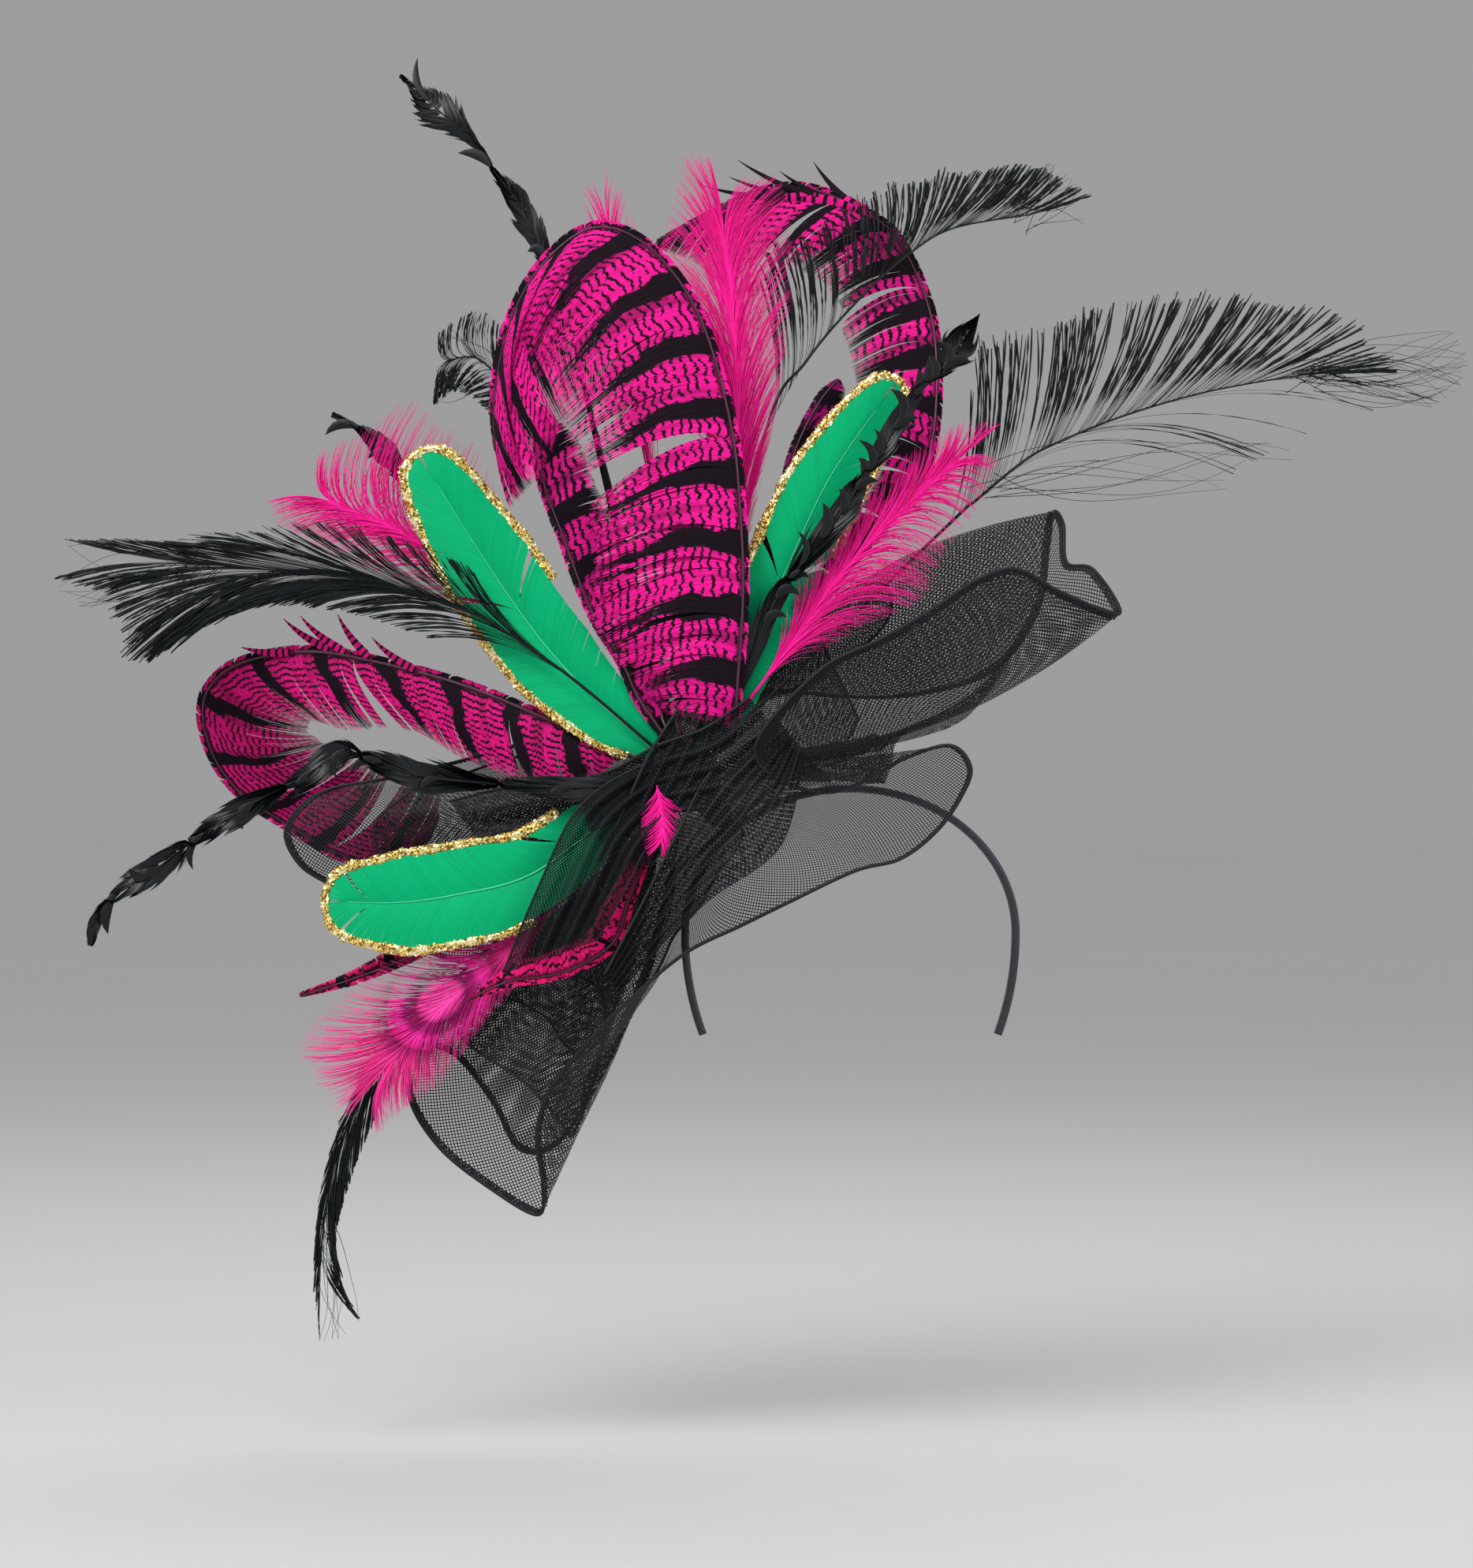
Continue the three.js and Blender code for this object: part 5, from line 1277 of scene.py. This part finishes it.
def folded(name, node, grid, share, row, fuller):
    """A pleated net, its UV and its length. Its width is measured at one row."""
    length = travelled(grid[:, grid.shape[1] // 2]) * CENTIMETRES
    wide = np.linalg.norm(grid[row, 0] - grid[row, -1]) * CENTIMETRES * fuller
    uv = uv_grid(length[:, None], share * wide)
    return cloth(name, node, grid, uv), uv, float(length[-1]) / CENTIMETRES


for row in FRONT_FOLDS:
    name = row["name"]
    run = smooth_rows(row["rows"], FOLD_STEPS)
    share = np.linspace(0, 1, row["pleats"] * PLEAT_COLUMNS + 1)
    right, up, front = (between(run, k, k + 3, share) for k in range(3))
    grid = place(right, up, front + np.cos(share * row["pleats"] * 2 * math.pi) * FOLD_DEPTH * MM / REACH)
    piece, uv, long = folded(name, "brim", grid, share, 0, FOLD_FULLER)
    edge = cord(name + "_edge", "brim", grid[:, 0], FOLD_CORD)
    declare(piece, long, [edge] + linings(name, "brim", grid, uv, 2))

for row in STRIPS:
    name = row["name"]
    run = smooth_rows(row["rows"], STRIP_STEPS)
    share = np.linspace(0, 1, row["pleats"] * PLEAT_COLUMNS + 1)
    ramp = np.minimum(1, np.arange(len(run)) / (PLEAT_ROWS * STRIP_STEPS / 2))[:, None]
    wave = (0.5 - 0.5 * np.cos(share * (row["pleats"] * 2) * math.pi)) * ramp * PLEAT_DEPTH / REACH
    grid = place(between(run, 0, 2, share), between(run, 1, 3, share), run[:, 4:5] + wave)
    piece, uv, long = folded(name + "_net", name, grid, share, -1, STRIP_FULLER)
    parts = linings(name, name, grid, uv, 1)
    for side, column in (("upper", 0), ("lower", -1)):
        parts.append(cord(f"{name}_{side}_edge", name, grid[:, column], STRIP_CORD))
    declare(piece, long, parts)


# First seeds of the random draws of each kind of feather
SEEDS = dict(pheasant=20, goose=60, plume=100, tuft=150, beaded=200, bare=220, hair=260, curl=300)
SPLIT_SEED = 3

# Barred feathers: rows of barbs from the spine to the inner edge, a narrow outer vane and a quill

QUILL = 1.0 * MM
QUILL_TIP = 0.25 * MM
QUILL_RISE = 0.4 * MM
OUTER_VANE = 5 * MM
SPINE_STEPS = 26
BARB_PITCH = 0.42 * MM
BARB_STATIONS = 9
VANE = dict(sweep=0.22, clump=0.030, pull=0.14, crest=1.0 * MM, ragged=0.05, widen=0.85)
DRAPE = dict(sweep=0.22, clump=0.030, pull=0.30, crest=3.2 * MM, ragged=0.08, widen=0.70)
EDGE = dict(sweep=1.1, clump=0.02, pull=0.25, crest=0.0, ragged=0.05, widen=0.9)
# Splits of a vane: where along the spine, how wide and over what run
SPLITS = {
    "pheasant_main": [(0.12, 0.005, 0.03), (0.20, 0.006, 0.03), (0.28, 0.006, 0.03), (0.405, 0.020, 0.04)],
    "pheasant_inner": [(0.5, 0.01, 0.04)],
    "pheasant_right": [(0.55, 0.008, 0.04), (0.74, 0.01, 0.04)],
    "pheasant_left": [(0.30, 0.008, 0.04), (0.72, 0.010, 0.04), (0.84, 0.014, 0.04)],
}
LONGER = {"pheasant_main": 1.08, "pheasant_left": 1.28, "pheasant_right": 1.30}
# Where the long barbs of the tall loop end, a row for each row of its spine
DRAPED = {
    "pheasant_main": [
        [0.030, 0.060], [-0.025, 0.080], [-0.060, 0.125], [-0.100, 0.205], [-0.112, 0.300], [-0.130, 0.372],
        [-0.165, 0.465], [-0.190, 0.520], [-0.213, 0.548], [-0.220, 0.503], [-0.218, 0.440], [-0.203, 0.378],
        [-0.212, 0.350],
    ],
}


def barbs(root, way, tip, even_tip, sweep, straight):
    """Barbs that leave the shaft along it and bend to their tips, and how far each stands from the next."""
    leaving = root + way * np.linalg.norm(tip - root, axis=1, keepdims=True) * sweep
    flat = bent(root, leaving + (tip - root) * straight, tip, BARB_STATIONS)
    even = bent(root, leaving + (even_tip - root) * straight, even_tip, BARB_STATIONS)
    step, direction = np.gradient(even, axis=0), unit(np.gradient(even, axis=1))
    return flat, np.abs(step[..., 0] * -direction[..., 1] + step[..., 1] * direction[..., 0]) * REACH


def barb_vane(row, label, run, tips, count, rng, sweep, clump, pull, crest, ragged, widen, splits=(), longer=1.0):
    """Barbs from a spine to a row of tips, in clumps, each a narrow tilted band."""
    shares = np.linspace(0.004, 0.996, count)
    stops = np.linspace(0, 1, len(run))
    root = sample(run, shares)[:, :2]
    wanted, which = clumped(opened(shares, splits), clump, pull, rng)
    reach = longer + ragged * (rng.random(which.max() + 1)[which] * 1.4 - 0.8)
    reach = reach + ragged * 0.3 * rng.standard_normal(count)
    tip = root + (sample(tips, wanted) - root) * reach[:, None]
    flat, apart = barbs(root, sample(forward(run), shares), tip, sample(tips, shares), sweep, 0.30)
    t = np.linspace(0, 1, BARB_STATIONS)[None]
    half = np.clip(apart * widen, 0.10 * MM, 0.9 * MM) * (1 - 0.75 * t ** 5)
    wave = np.sin(shares * 40 + rng.uniform(0, 6)) * 0.5 + np.sin(shares * 17 + 1.0) * 0.5
    rise = crest * np.sin(t * math.pi * 0.9) + 0.5 * MM * t ** 2 * wave[:, None]
    rise = rise + 0.12 * MM * rng.standard_normal((count, 1)) * t
    lift = np.interp(shares, stops, run[:, 4])[:, None]
    along = np.interp(shares, stops, travelled(run[:, :2])) * REACH
    name = row["name"]
    strands(f"{name}_{label}", name, on_cone(row["lean"], flat, lift, rise), half, name, along=along,
            seed=int(rng.integers(1e6)))


def quill(name, node, run, lean, start, end, look, slot, lift=0.0, rise=0.0):
    """A thin tapered shaft along a feather's run."""
    path = on_cone(lean, run[:, :2], lift, rise)
    strands(name, node, path[None], np.linspace(start, end, len(run))[None], look, TUBE)


def pheasant(row, seed):
    name = row["name"]
    rng = np.random.default_rng(seed)
    root = np.array(root_row(row["turn"]))
    shift = unit(square_to(root)) * (QUILL / REACH) * -row["side"]
    run = smooth_rows([[*root, *(root + shift), 0]] + row["rows"], SPINE_STEPS)
    count = int(travelled(run[:, :2])[-1] * REACH / BARB_PITCH)
    splits = SPLITS.get(name, ())
    barb_vane(row, "vane", run, run[:, 2:4], count, rng, **VANE, splits=splits, longer=LONGER.get(name, 1.0))
    if name in DRAPED:
        barb_vane(row, "drape", run, smooth_rows(DRAPED[name], SPINE_STEPS), count, rng, **DRAPE, splits=splits)
    side = square_to(forward(run)) * row["side"]
    share = np.linspace(0, 1, len(run))
    wide = OUTER_VANE * np.minimum(1, share * 6) * np.minimum(1, (1 - share) * 7 + 0.15)
    outer = run[:, :2] + side * (0.7 * wide / REACH)[:, None]
    barb_vane(row, "edge", run, outer, count // 2, rng, **EDGE)
    quill(name + "_quill", name, run, row["lean"], QUILL, QUILL_TIP, "quill", row["look"], run[:, 4], QUILL_RISE)


for number, row in enumerate(PHEASANTS):
    pheasant(row, SEEDS["pheasant"] + number)

# Loose split barbs: the feather they belong to, its lean, and rows of their roots and tips
SPLIT_BARBS = [
    ("pheasant_right", -0.15, [
        [0.215, 0.745, 0.065, 0.805], [0.200, 0.752, 0.054, 0.782], [0.240, 0.728, 0.164, 0.803],
        [0.225, 0.740, 0.120, 0.790], [0.180, 0.760, 0.020, 0.770],
    ]),
    ("pheasant_left", -0.018, [
        [-0.500, 0.160, -0.568, 0.166], [-0.450, 0.162, -0.513, 0.202], [-0.430, 0.158, -0.492, 0.206],
        [-0.400, 0.150, -0.444, 0.208], [-0.340, 0.135, -0.400, 0.178],
    ]),
]
SPLIT_BARB_HALF = 2.2 * MM
SPLIT_BARB_RISE = 1.5 * MM
SPLIT_BARB_STATIONS = 12
for node, lean, rows in SPLIT_BARBS:
    root, tip = np.array(rows)[:, :2], np.array(rows)[:, 2:]
    middle = (root + tip) / 2 + (tip - root)[:, ::-1] * np.array([-0.12, 0.12])
    paths = on_cone(lean, bent(root, middle, tip, SPLIT_BARB_STATIONS), 0.0, SPLIT_BARB_RISE)
    t = np.linspace(0, 1, SPLIT_BARB_STATIONS)[None]
    half = SPLIT_BARB_HALF * (1 - t ** 2) * np.clip(t * 5 + 0.3, 0, 1) + 0.1 * MM
    strands(node + "_splits", node, paths, half, node, BLADE, seed=SPLIT_SEED)


# Trimmed goose feathers with a glitter edge

GOOSE_STEPS = 12
GOOSE_TIP = 0.03
GOOSE_BARBS = 300
GOOSE_SPLITS = {"left": [0.52], "right": [0.6], "low": [0.25, 0.78, 0.86, 0.93]}
VEIN = 0.7 * MM
VEIN_TIP = 0.18 * MM
VEIN_RISE = 0.3 * MM
GOLD_WIDTH = 3.6 * MM
GOLD_GAP = 0.5 * MM
GOLD_LAP = 1.0 * MM
GOLD_STEPS = 90
GOLD_SIDE_RATE = 8
GOLD_TIP_RATE = 3
GOLD_SIDES = 12
GOLD_FLAT = 0.5
GOLD_HALF = (1.0 * MM, 3.2 * MM)
FLAKE_DENSITY = 0.75e6
FLAKE_SIZE = 0.70 * MM


def goose_edge(goose, spine, share, grow):
    """The outline at shares from -1, left of the base, through 0, the tip, to 1."""
    here = sample(spine, 1 - share ** 2)
    way = sample(forward(spine), 1 - share ** 2)
    table = np.array(OUTLINE_ROWS)
    wide = np.interp(np.abs(share), table[:, 0], table[:, 1]) * goose["halfWidth"] * MM
    half = -np.sign(share) * (wide + grow * np.minimum(1, np.abs(share) * GOLD_SIDE_RATE))
    ahead = np.maximum(0, 1 - np.abs(share) * GOLD_TIP_RATE) * grow
    return here + (square_to(way) * half[:, None] + way * ahead[:, None]) / REACH


def goose_vane(goose, name, spine, side, label, rng, seed):
    share = np.linspace(0.012, 1, GOOSE_BARBS)
    back = np.clip(1 - share ** 2 - 0.085 * np.minimum(1, (1 - share) * 6 + 0.2), 0, 1)
    gaps = GOOSE_SPLITS[goose["name"]] if side > 0 else GOOSE_SPLITS[goose["name"]][:1]
    wanted, _ = clumped(opened(share, [(gap, 0.010, 0.03) for gap in gaps]), 0.03, 0.12, rng)
    tip = goose_edge(goose, spine, np.clip(wanted, 0.001, 1) * side, 0)
    even_tip = goose_edge(goose, spine, share * side, 0)
    flat, apart = barbs(sample(spine, back), sample(forward(spine), back), tip, even_tip, 0.12, 0.4)
    t = np.linspace(0, 1, BARB_STATIONS)[None]
    rise = 1.4 * MM * np.sin(t * math.pi * 0.8)
    half = np.clip(apart * 0.75, 0.12 * MM, 1.6 * MM)
    strands(f"{name}_{label}_vane", name, on_cone(goose["lean"], flat, 0.0, rise), half, "green",
            along=back * 0.18, seed=seed + side)


def goose_feather(goose, seed):
    rng = np.random.default_rng(seed)
    name, gold, lean = "green_" + goose["name"], "gold_" + goose["name"], goose["lean"]
    spine = smooth_rows([root_row(goose["turn"])] + goose["rows"], 6)
    for side, label in ((-1, "left"), (1, "right")):
        goose_vane(goose, name, spine, side, label, rng, seed)
    quill(name + "_vein", name, spine, lean, VEIN, VEIN_TIP, "vein", "green", rise=VEIN_RISE)

    first, last = goose["goldFrom"] / GOOSE_STEPS, goose["goldTo"] / GOOSE_STEPS
    share = [-np.linspace(first, GOOSE_TIP, GOLD_STEPS), np.linspace(GOOSE_TIP, last, GOLD_STEPS)]
    share = np.concatenate(share)
    inner = goose_edge(goose, spine, share, GOLD_GAP - GOLD_LAP)
    outer = goose_edge(goose, spine, share, GOLD_GAP + GOLD_WIDTH)
    thirds = np.arange(0, len(share), 3)
    lumps = 1 + 0.16 * np.interp(np.arange(len(share)), thirds, rng.standard_normal(len(thirds)))
    half = np.clip(np.linalg.norm(outer - inner, axis=1) / 2 * REACH * lumps, *GOLD_HALF)
    across = on_cone(lean, inner) - on_cone(lean, outer)
    path = on_cone(lean, (inner + outer) / 2)
    turns = np.linspace(0, 2 * math.pi, GOLD_SIDES, endpoint=False)
    section = [(math.cos(turn), math.sin(turn) * GOLD_FLAT) for turn in turns]
    bed = closed_sweep(gold + "_bed", gold, path, half, section, across, "gold")
    values = {"Density": FLAKE_DENSITY, "Size": FLAKE_SIZE, "Seed": seed}
    grown(gold + "_glitter", gold, bed.data.copy(), FLAKES, values, "gold")


for number, goose in enumerate(GEESE):
    goose_feather(goose, SEEDS["goose"] + number)


# Peacock plumes and swords: herls from a shaft to a row of tips

PLUME_HERL = dict(slot="pink", radius=0.25 * MM, clump=0.03, pull=0.85, stations=10, short=0.40, spread=1.4 * MM)
TUFT_HERL = dict(slot="pink", radius=0.40 * MM, clump=0.10, pull=0.50, stations=8, short=0.30, spread=0.8 * MM)
BEADED_HERL = dict(slot="black", radius=0.19 * MM, clump=0.026, pull=0.70, stations=24, spread=0.9 * MM, beads=1.6)
BARE_HERL = dict(slot="black", radius=0.20 * MM, clump=0.05, pull=0.50, stations=15, spread=1.2 * MM, beads=0.4)
# Half width of a shaft at its root and at its tip
PLUME_SHAFT = (1.1 * MM, 0.3 * MM)
TUFT_SHAFT = (1.1 * MM, 0.5 * MM)
SWORD_SHAFT = (0.9 * MM, 0.35 * MM)
TUFT_AHEAD = 15 * MM
TUFT_HERLS = 110
PLUME_SWEEPS = {"plume_top": 0.66, "plume_wisp": 0.6, "plume_right": 0.72, "plume_left": 0.60, "plume_eye": 0.62}
PLUME_HERLS = {"plume_top": 420, "plume_wisp": 70, "plume_left": 330, "plume_right": 330, "plume_eye": 420}


def herls(row, side, count, look, seed, slot, radius, clump, pull, stations, spread, beads=0.0, short=0.0,
          sweep=LOCK_SWEEP, hook=0.0, crowd=1.0, ahead=0.0):
    """Single fine barbs. hook turns their ends along the shaft, crowd gathers their roots to its end."""
    rng = np.random.default_rng(seed)
    shaft = smooth_rows(row["shaft"], 12)
    shares = np.sort(rng.random(count)) ** crowd
    root = sample(shaft, shares * 0.985)
    way = sample(forward(shaft), shares * 0.985)
    wanted, which = clumped(shares + rng.normal(0, 0.006, count), clump, pull, rng)
    tip = sample(smooth_rows(row[side], 10), wanted)
    reach = 1 + 0.05 * (rng.random(which.max() + 1)[which] - 0.7) + 0.03 * rng.standard_normal(count)
    reach = np.where(rng.random(count) < short, reach * rng.uniform(0.45, 0.9, count), reach)
    tip = root + (tip - root) * reach[:, None]
    length = np.linalg.norm(tip - root, axis=1, keepdims=True)
    control = root + way * length * sweep + rng.normal(0, 0.01, (count, 2)) * length
    flat = bent(root, control, tip, stations)
    t = np.linspace(0, 1, stations)[None]
    if hook:
        curl = hook * rng.uniform(0.4, 1.5, count)[:, None, None]
        turned = way[:, None] * t[..., None] ** 5 - unit(tip - root)[:, None] * 0.6 * t[..., None] ** 7
        flat = flat + turned * length[:, None] * curl
    rise = spread * rng.standard_normal((count, 1)) * t
    rise = rise + 0.4 * spread * np.sin(t * 5 + rng.uniform(0, 6, (count, 1)))
    thick = radius * (1 - 0.85 * t ** 3) * rng.uniform(0.8, 1.25, (count, 1))
    if beads:
        swell = np.clip((t - 0.42) * 5, 0, 1) * np.clip((1.05 - t) * 12, 0, 1)
        thick = radius * (0.55 + swell * (beads + 0.9 * rng.standard_normal((count, stations)).clip(-1.2, 1.6)))
        thick = np.clip(thick, radius * 0.3, radius * (beads + 2))
    strands(f"{row['name']}_{side}_herls", row["name"], on_cone(row["lean"], flat, 0.0, rise + ahead), thick,
            look, STRAND, along=shares * 0.15, seed=seed)


def shaft_of(row, look, slot, ends):
    run = smooth_rows([root_row(row["turn"])] + row["shaft"], 8)
    quill(row["name"] + "_shaft", row["name"], run, row["lean"], *ends, look, slot)


for number, row in enumerate(PLUMES):
    name = row["name"]
    look = "eye" if name == "plume_eye" else "pink"
    for side in ("left", "right"):
        seed = SEEDS["plume"] + 7 * number + len(side)
        herls(row, side, PLUME_HERLS[name], look, seed, **PLUME_HERL, sweep=PLUME_SWEEPS[name])
    shaft_of(row, look, "pink", PLUME_SHAFT)

for side in ("left", "right"):
    herls(TUFT, side, TUFT_HERLS, "pink", SEEDS["tuft"] + len(side), **TUFT_HERL, ahead=TUFT_AHEAD)
shaft_of(TUFT, "pink", "pink", TUFT_SHAFT)

# Long hairs past a feather's end: its lean, how many, where they start, and the fan of places where they end
HAIRS = [
    ("sword_right", -0.03, 30, (0.800, 0.517), [[0.955, 0.480], [0.990, 0.500], [1.010, 0.535], [0.985, 0.580]]),
    ("sword_right", -0.03, 9, (0.390, 0.372), [[0.560, 0.368], [0.690, 0.372], [0.730, 0.407], [0.800, 0.437]]),
    ("sword_top", -0.115, 14, (0.430, 0.729), [[0.515, 0.718], [0.527, 0.757], [0.490, 0.790], [0.465, 0.803]]),
    ("sword_left", 0.085, 22, (-0.600, 0.268), [
        [-0.690, 0.150], [-0.720, 0.215], [-0.793, 0.228], [-0.785, 0.275], [-0.770, 0.299],
    ]),
    ("sword_hanging", 0.012, 8, (-0.460, -0.570), [[-0.466, -0.720], [-0.445, -0.715], [-0.420, -0.690]]),
    ("sword_back", -0.065, 8, (-0.260, 0.520), [[-0.318, 0.476], [-0.322, 0.530], [-0.295, 0.600]]),
]
HAIR_RADIUS = 0.22 * MM
HAIR_RISE = 2.0
HAIR_STATIONS = 24


def hairs(number, name, lean, count, start, fan):
    rng = np.random.default_rng(SEEDS["hair"] + number)
    tip = sample(np.array(fan), rng.random(count))
    root = np.array(start) + rng.normal(0, 0.012, (count, 2))
    reach = np.linalg.norm(tip - root, axis=1, keepdims=True)
    bend = unit(square_to(tip - root)) * reach * rng.normal(0, 0.16, (count, 1))
    flat = bent(root, (root + tip) / 2 + bend, tip, HAIR_STATIONS)
    t = np.linspace(0, 1, HAIR_STATIONS)[None]
    ripple = np.sin(t * 5 + rng.uniform(0, 6, (count, 1)))[..., None] * t[..., None]
    flat = flat + unit(bend)[:, None] * (reach * 0.05)[:, None] * ripple
    rise = HAIR_RISE * MM * rng.standard_normal((count, 1)) * t
    paths = on_cone(lean, flat, 0.0, rise)
    half = HAIR_RADIUS * (1 - 0.6 * t)
    strands(f"{name}_hairs_{number}", name, paths, half, "black", STRAND, seed=number)


for number, row in enumerate(HAIRS):
    hairs(number, *row)

# Black swords: how many herls, their sweep, their hook and how their roots crowd
SWORD_SHAPES = {
    "sword_top": (230, 0.20, -0.16, 0.74),
    "sword_right": (210, 0.08, -0.16, 0.66),
    "sword_left": (270, 0.62, 0.05, 1.0),
    "sword_back": (90, 0.40, 0.10, 1.0),
    "sword_hanging": (110, 0.45, 0.04, 1.0),
}
BARE_HERLS = {"sword_right": 14}
BARE_SWEEP = 0.5
for number, row in enumerate(SWORDS):
    count, sweep_share, hook, crowd = SWORD_SHAPES[row["name"]]
    seed = SEEDS["beaded"] + number
    herls(row, "left", count, "black", seed, **BEADED_HERL, sweep=sweep_share, hook=hook, crowd=crowd)
    if row["right"]:
        few = BARE_HERLS.get(row["name"], count)
        seed = SEEDS["bare"] + number
        herls(row, "right", few, "black", seed, **BARE_HERL, sweep=max(BARE_SWEEP, sweep_share))
    shaft_of(row, "black", "black", SWORD_SHAFT)


# Curled satin feathers: spiked blades that turn round their own stems

CURL_STEM = (1.0 * MM, 0.3 * MM)
BLADE_PITCH = 1.3 * MM
BLADE_STATIONS = 12
BLADE_HALF = 1.45 * MM
LEAST_HALF = 0.05 * MM
CURL_LEAST = 0.4
CURL_FULLER = {"twist_braid": 0.9, "twist_top": 1.2}
THORNS = {"twist_right": 17, "twist_braid": 9, "twist_top": 4, "twist_left": 4}
THORN_REACH = 10 * MM
THORN_HALF = 2.4 * MM
THORN_RISE = 2.0 * MM
THORN_STATIONS = 7


def thorns(row, run, ways, seed):
    """Loose pointed barb tips that stand off a curled feather."""
    rng = np.random.default_rng(seed + 7)
    count = THORNS[row["name"]]
    share = np.linspace(0.16, 0.88, count) + rng.uniform(-0.02, 0.02, count)
    spot, way = sample(run, share)[:, :2], sample(ways, share)
    out = square_to(way) * np.where(rng.random(count) < 0.7, 1, -1)[:, None]
    reach = (THORN_REACH * rng.uniform(0.7, 1.3, count) / REACH)[:, None]
    tip = spot + (out + way * rng.uniform(0.2, 1.1, (count, 1))) * reach
    flat = bent(spot - way * reach * 0.5, spot + way * reach * 0.5, tip, THORN_STATIONS)
    t = np.linspace(0, 1, THORN_STATIONS)[None]
    swell = np.sin(np.clip(t * 0.9 + 0.1, 0, 1) * math.pi) ** 0.8
    half = THORN_HALF * swell * rng.uniform(0.7, 1.2, (count, 1)) + LEAST_HALF
    paths = on_cone(row["lean"], flat, 0.0, THORN_RISE)
    strands(row["name"] + "_thorns", row["name"], paths, half, "blade", BLADE, seed=seed)


def curled(row, seed):
    rng = np.random.default_rng(seed)
    name = row["name"]
    run = smooth_rows([[*root_row(row["turn"]), 2.0]] + row["rows"], 12)
    run[:, 2] *= CURL_FULLER.get(name, 1.0)
    length = travelled(run[:, :2])[-1] * REACH
    ways = forward(run)
    count = int(length / BLADE_PITCH)
    t = np.linspace(0, 1, BLADE_STATIONS)[None]
    swell = np.sin(np.clip(t * 1.02 + 0.12, 0, 1) * math.pi) ** 0.7
    for side, label in ((1, "left"), (-1, "right")):
        start = np.sort(rng.uniform(-0.02, 0.97, count))
        reach = rng.uniform(18, 34, count) * MM / length
        share = np.clip(start[:, None] + reach[:, None] * t, 0, 1)
        spot = sample(run, share)
        perp = sample(square_to(ways), share)
        spin = np.maximum(0, share - PLAIN_STEM) * row["turns"] * math.pi
        flare = np.where(rng.random(count) < 0.16, rng.uniform(1.1, 1.5, count), rng.uniform(0.75, 1.1, count))
        out = side * spot[..., 2] / 2 * MM * (0.08 + 0.92 * t ** 0.75) * flare[:, None]
        shown = CURL_LEAST * np.sign(np.cos(spin)) + (1 - CURL_LEAST) * np.cos(spin)
        flat = spot[..., :2] + perp * (out * shown / REACH)[..., None]
        rise = out * np.sin(spin) * TWIST_FLAT + 0.35 * MM * rng.standard_normal((count, 1))
        across = np.stack([perp[..., 0] * np.cos(spin), -np.sin(spin), perp[..., 1] * np.cos(spin)], -1)
        half = BLADE_HALF * swell * rng.uniform(0.7, 1.3, (count, 1)) + LEAST_HALF
        paths = on_cone(row["lean"], flat, 0.0, rise)
        strands(f"{name}_{label}_blade", name, paths, half, "blade", BLADE,
                across=across, along=start * length, seed=seed + side)
    quill(name + "_stem", name, run, row["lean"], *CURL_STEM, "blade", "black")
    thorns(row, run, ways, seed)


for number, row in enumerate(TWISTS):
    curled(row, SEEDS["curl"] + number)


# Floor, lights and camera

FLOOR_DROP = 60 * MM
FLOOR_SIZE = 60
WORLD_GREY = (0.34, 0.34, 0.34, 1)
PHOTO_WIDTH = 1868
PHOTO_HEIGHT = 1988
ORIGIN_ACROSS = 1080
ORIGIN_DOWN = 1005
PIXEL = 0.4 * MM
VIEW_X = (PHOTO_WIDTH / 2 - ORIGIN_ACROSS) * PIXEL
VIEW_Z = (ORIGIN_DOWN - PHOTO_HEIGHT / 2) * PIXEL
VIEW_DISTANCE = 2.5
# Area lights: where they stand, their power and their size
LIGHTS = {
    "key": ((-1.3, -1.8, 1.7), 46, 1.2),
    "fill": ((1.6, -1.7, 0.7), 20, 1.4),
    "top": ((0.1, 0.9, 1.8), 16, 1.4),
}
SUN_POWER = 1.2
SUN_ANGLE = math.radians(50)
SUN_TURN = (math.radians(38), 0, math.radians(-20))

bpy.ops.mesh.primitive_plane_add(size=FLOOR_SIZE, location=(0, 0, cad_box[0].z - FLOOR_DROP))
floor = bpy.context.object
floor.name = "floor"
look, tree, shader = material("pale floor", 0.9)
cloudy = noise(object_point(tree), 0.8, 1.0)
wire(tree, blended(cloudy, (0.50, 0.50, 0.50), (0.52, 0.52, 0.52)), shader["Base Color"])
floor.data.materials.append(look)

scene = bpy.context.scene
scene.world = bpy.data.worlds.new("studio")
scene.world.use_nodes = True
background = scene.world.node_tree.nodes["Background"].inputs
background["Color"].default_value = WORLD_GREY
background["Strength"].default_value = 1.0

for name, (spot, power, size) in LIGHTS.items():
    light = linked(name, bpy.data.lights.new(name, "AREA"))
    light.data.energy = power
    light.data.size = size
    light.location = spot
    light.rotation_euler = (Vector((VIEW_X, 0, 0)) - Vector(spot)).to_track_quat("-Z", "Y").to_euler()

sun = linked("soft sun", bpy.data.lights.new("soft sun", "SUN"))
sun.data.energy = SUN_POWER
sun.data.angle = SUN_ANGLE
sun.rotation_euler = SUN_TURN
scene.view_settings.view_transform = "Standard"

camera = linked("camera", bpy.data.cameras.new("camera"))
camera.data.lens = camera.data.sensor_width * VIEW_DISTANCE / (PHOTO_HEIGHT * PIXEL)
camera.data.clip_end = FLOOR_SIZE
camera.location = (VIEW_X, HUB.y - VIEW_DISTANCE, VIEW_Z)
camera.rotation_euler = (math.radians(90), 0, 0)
scene.camera = camera
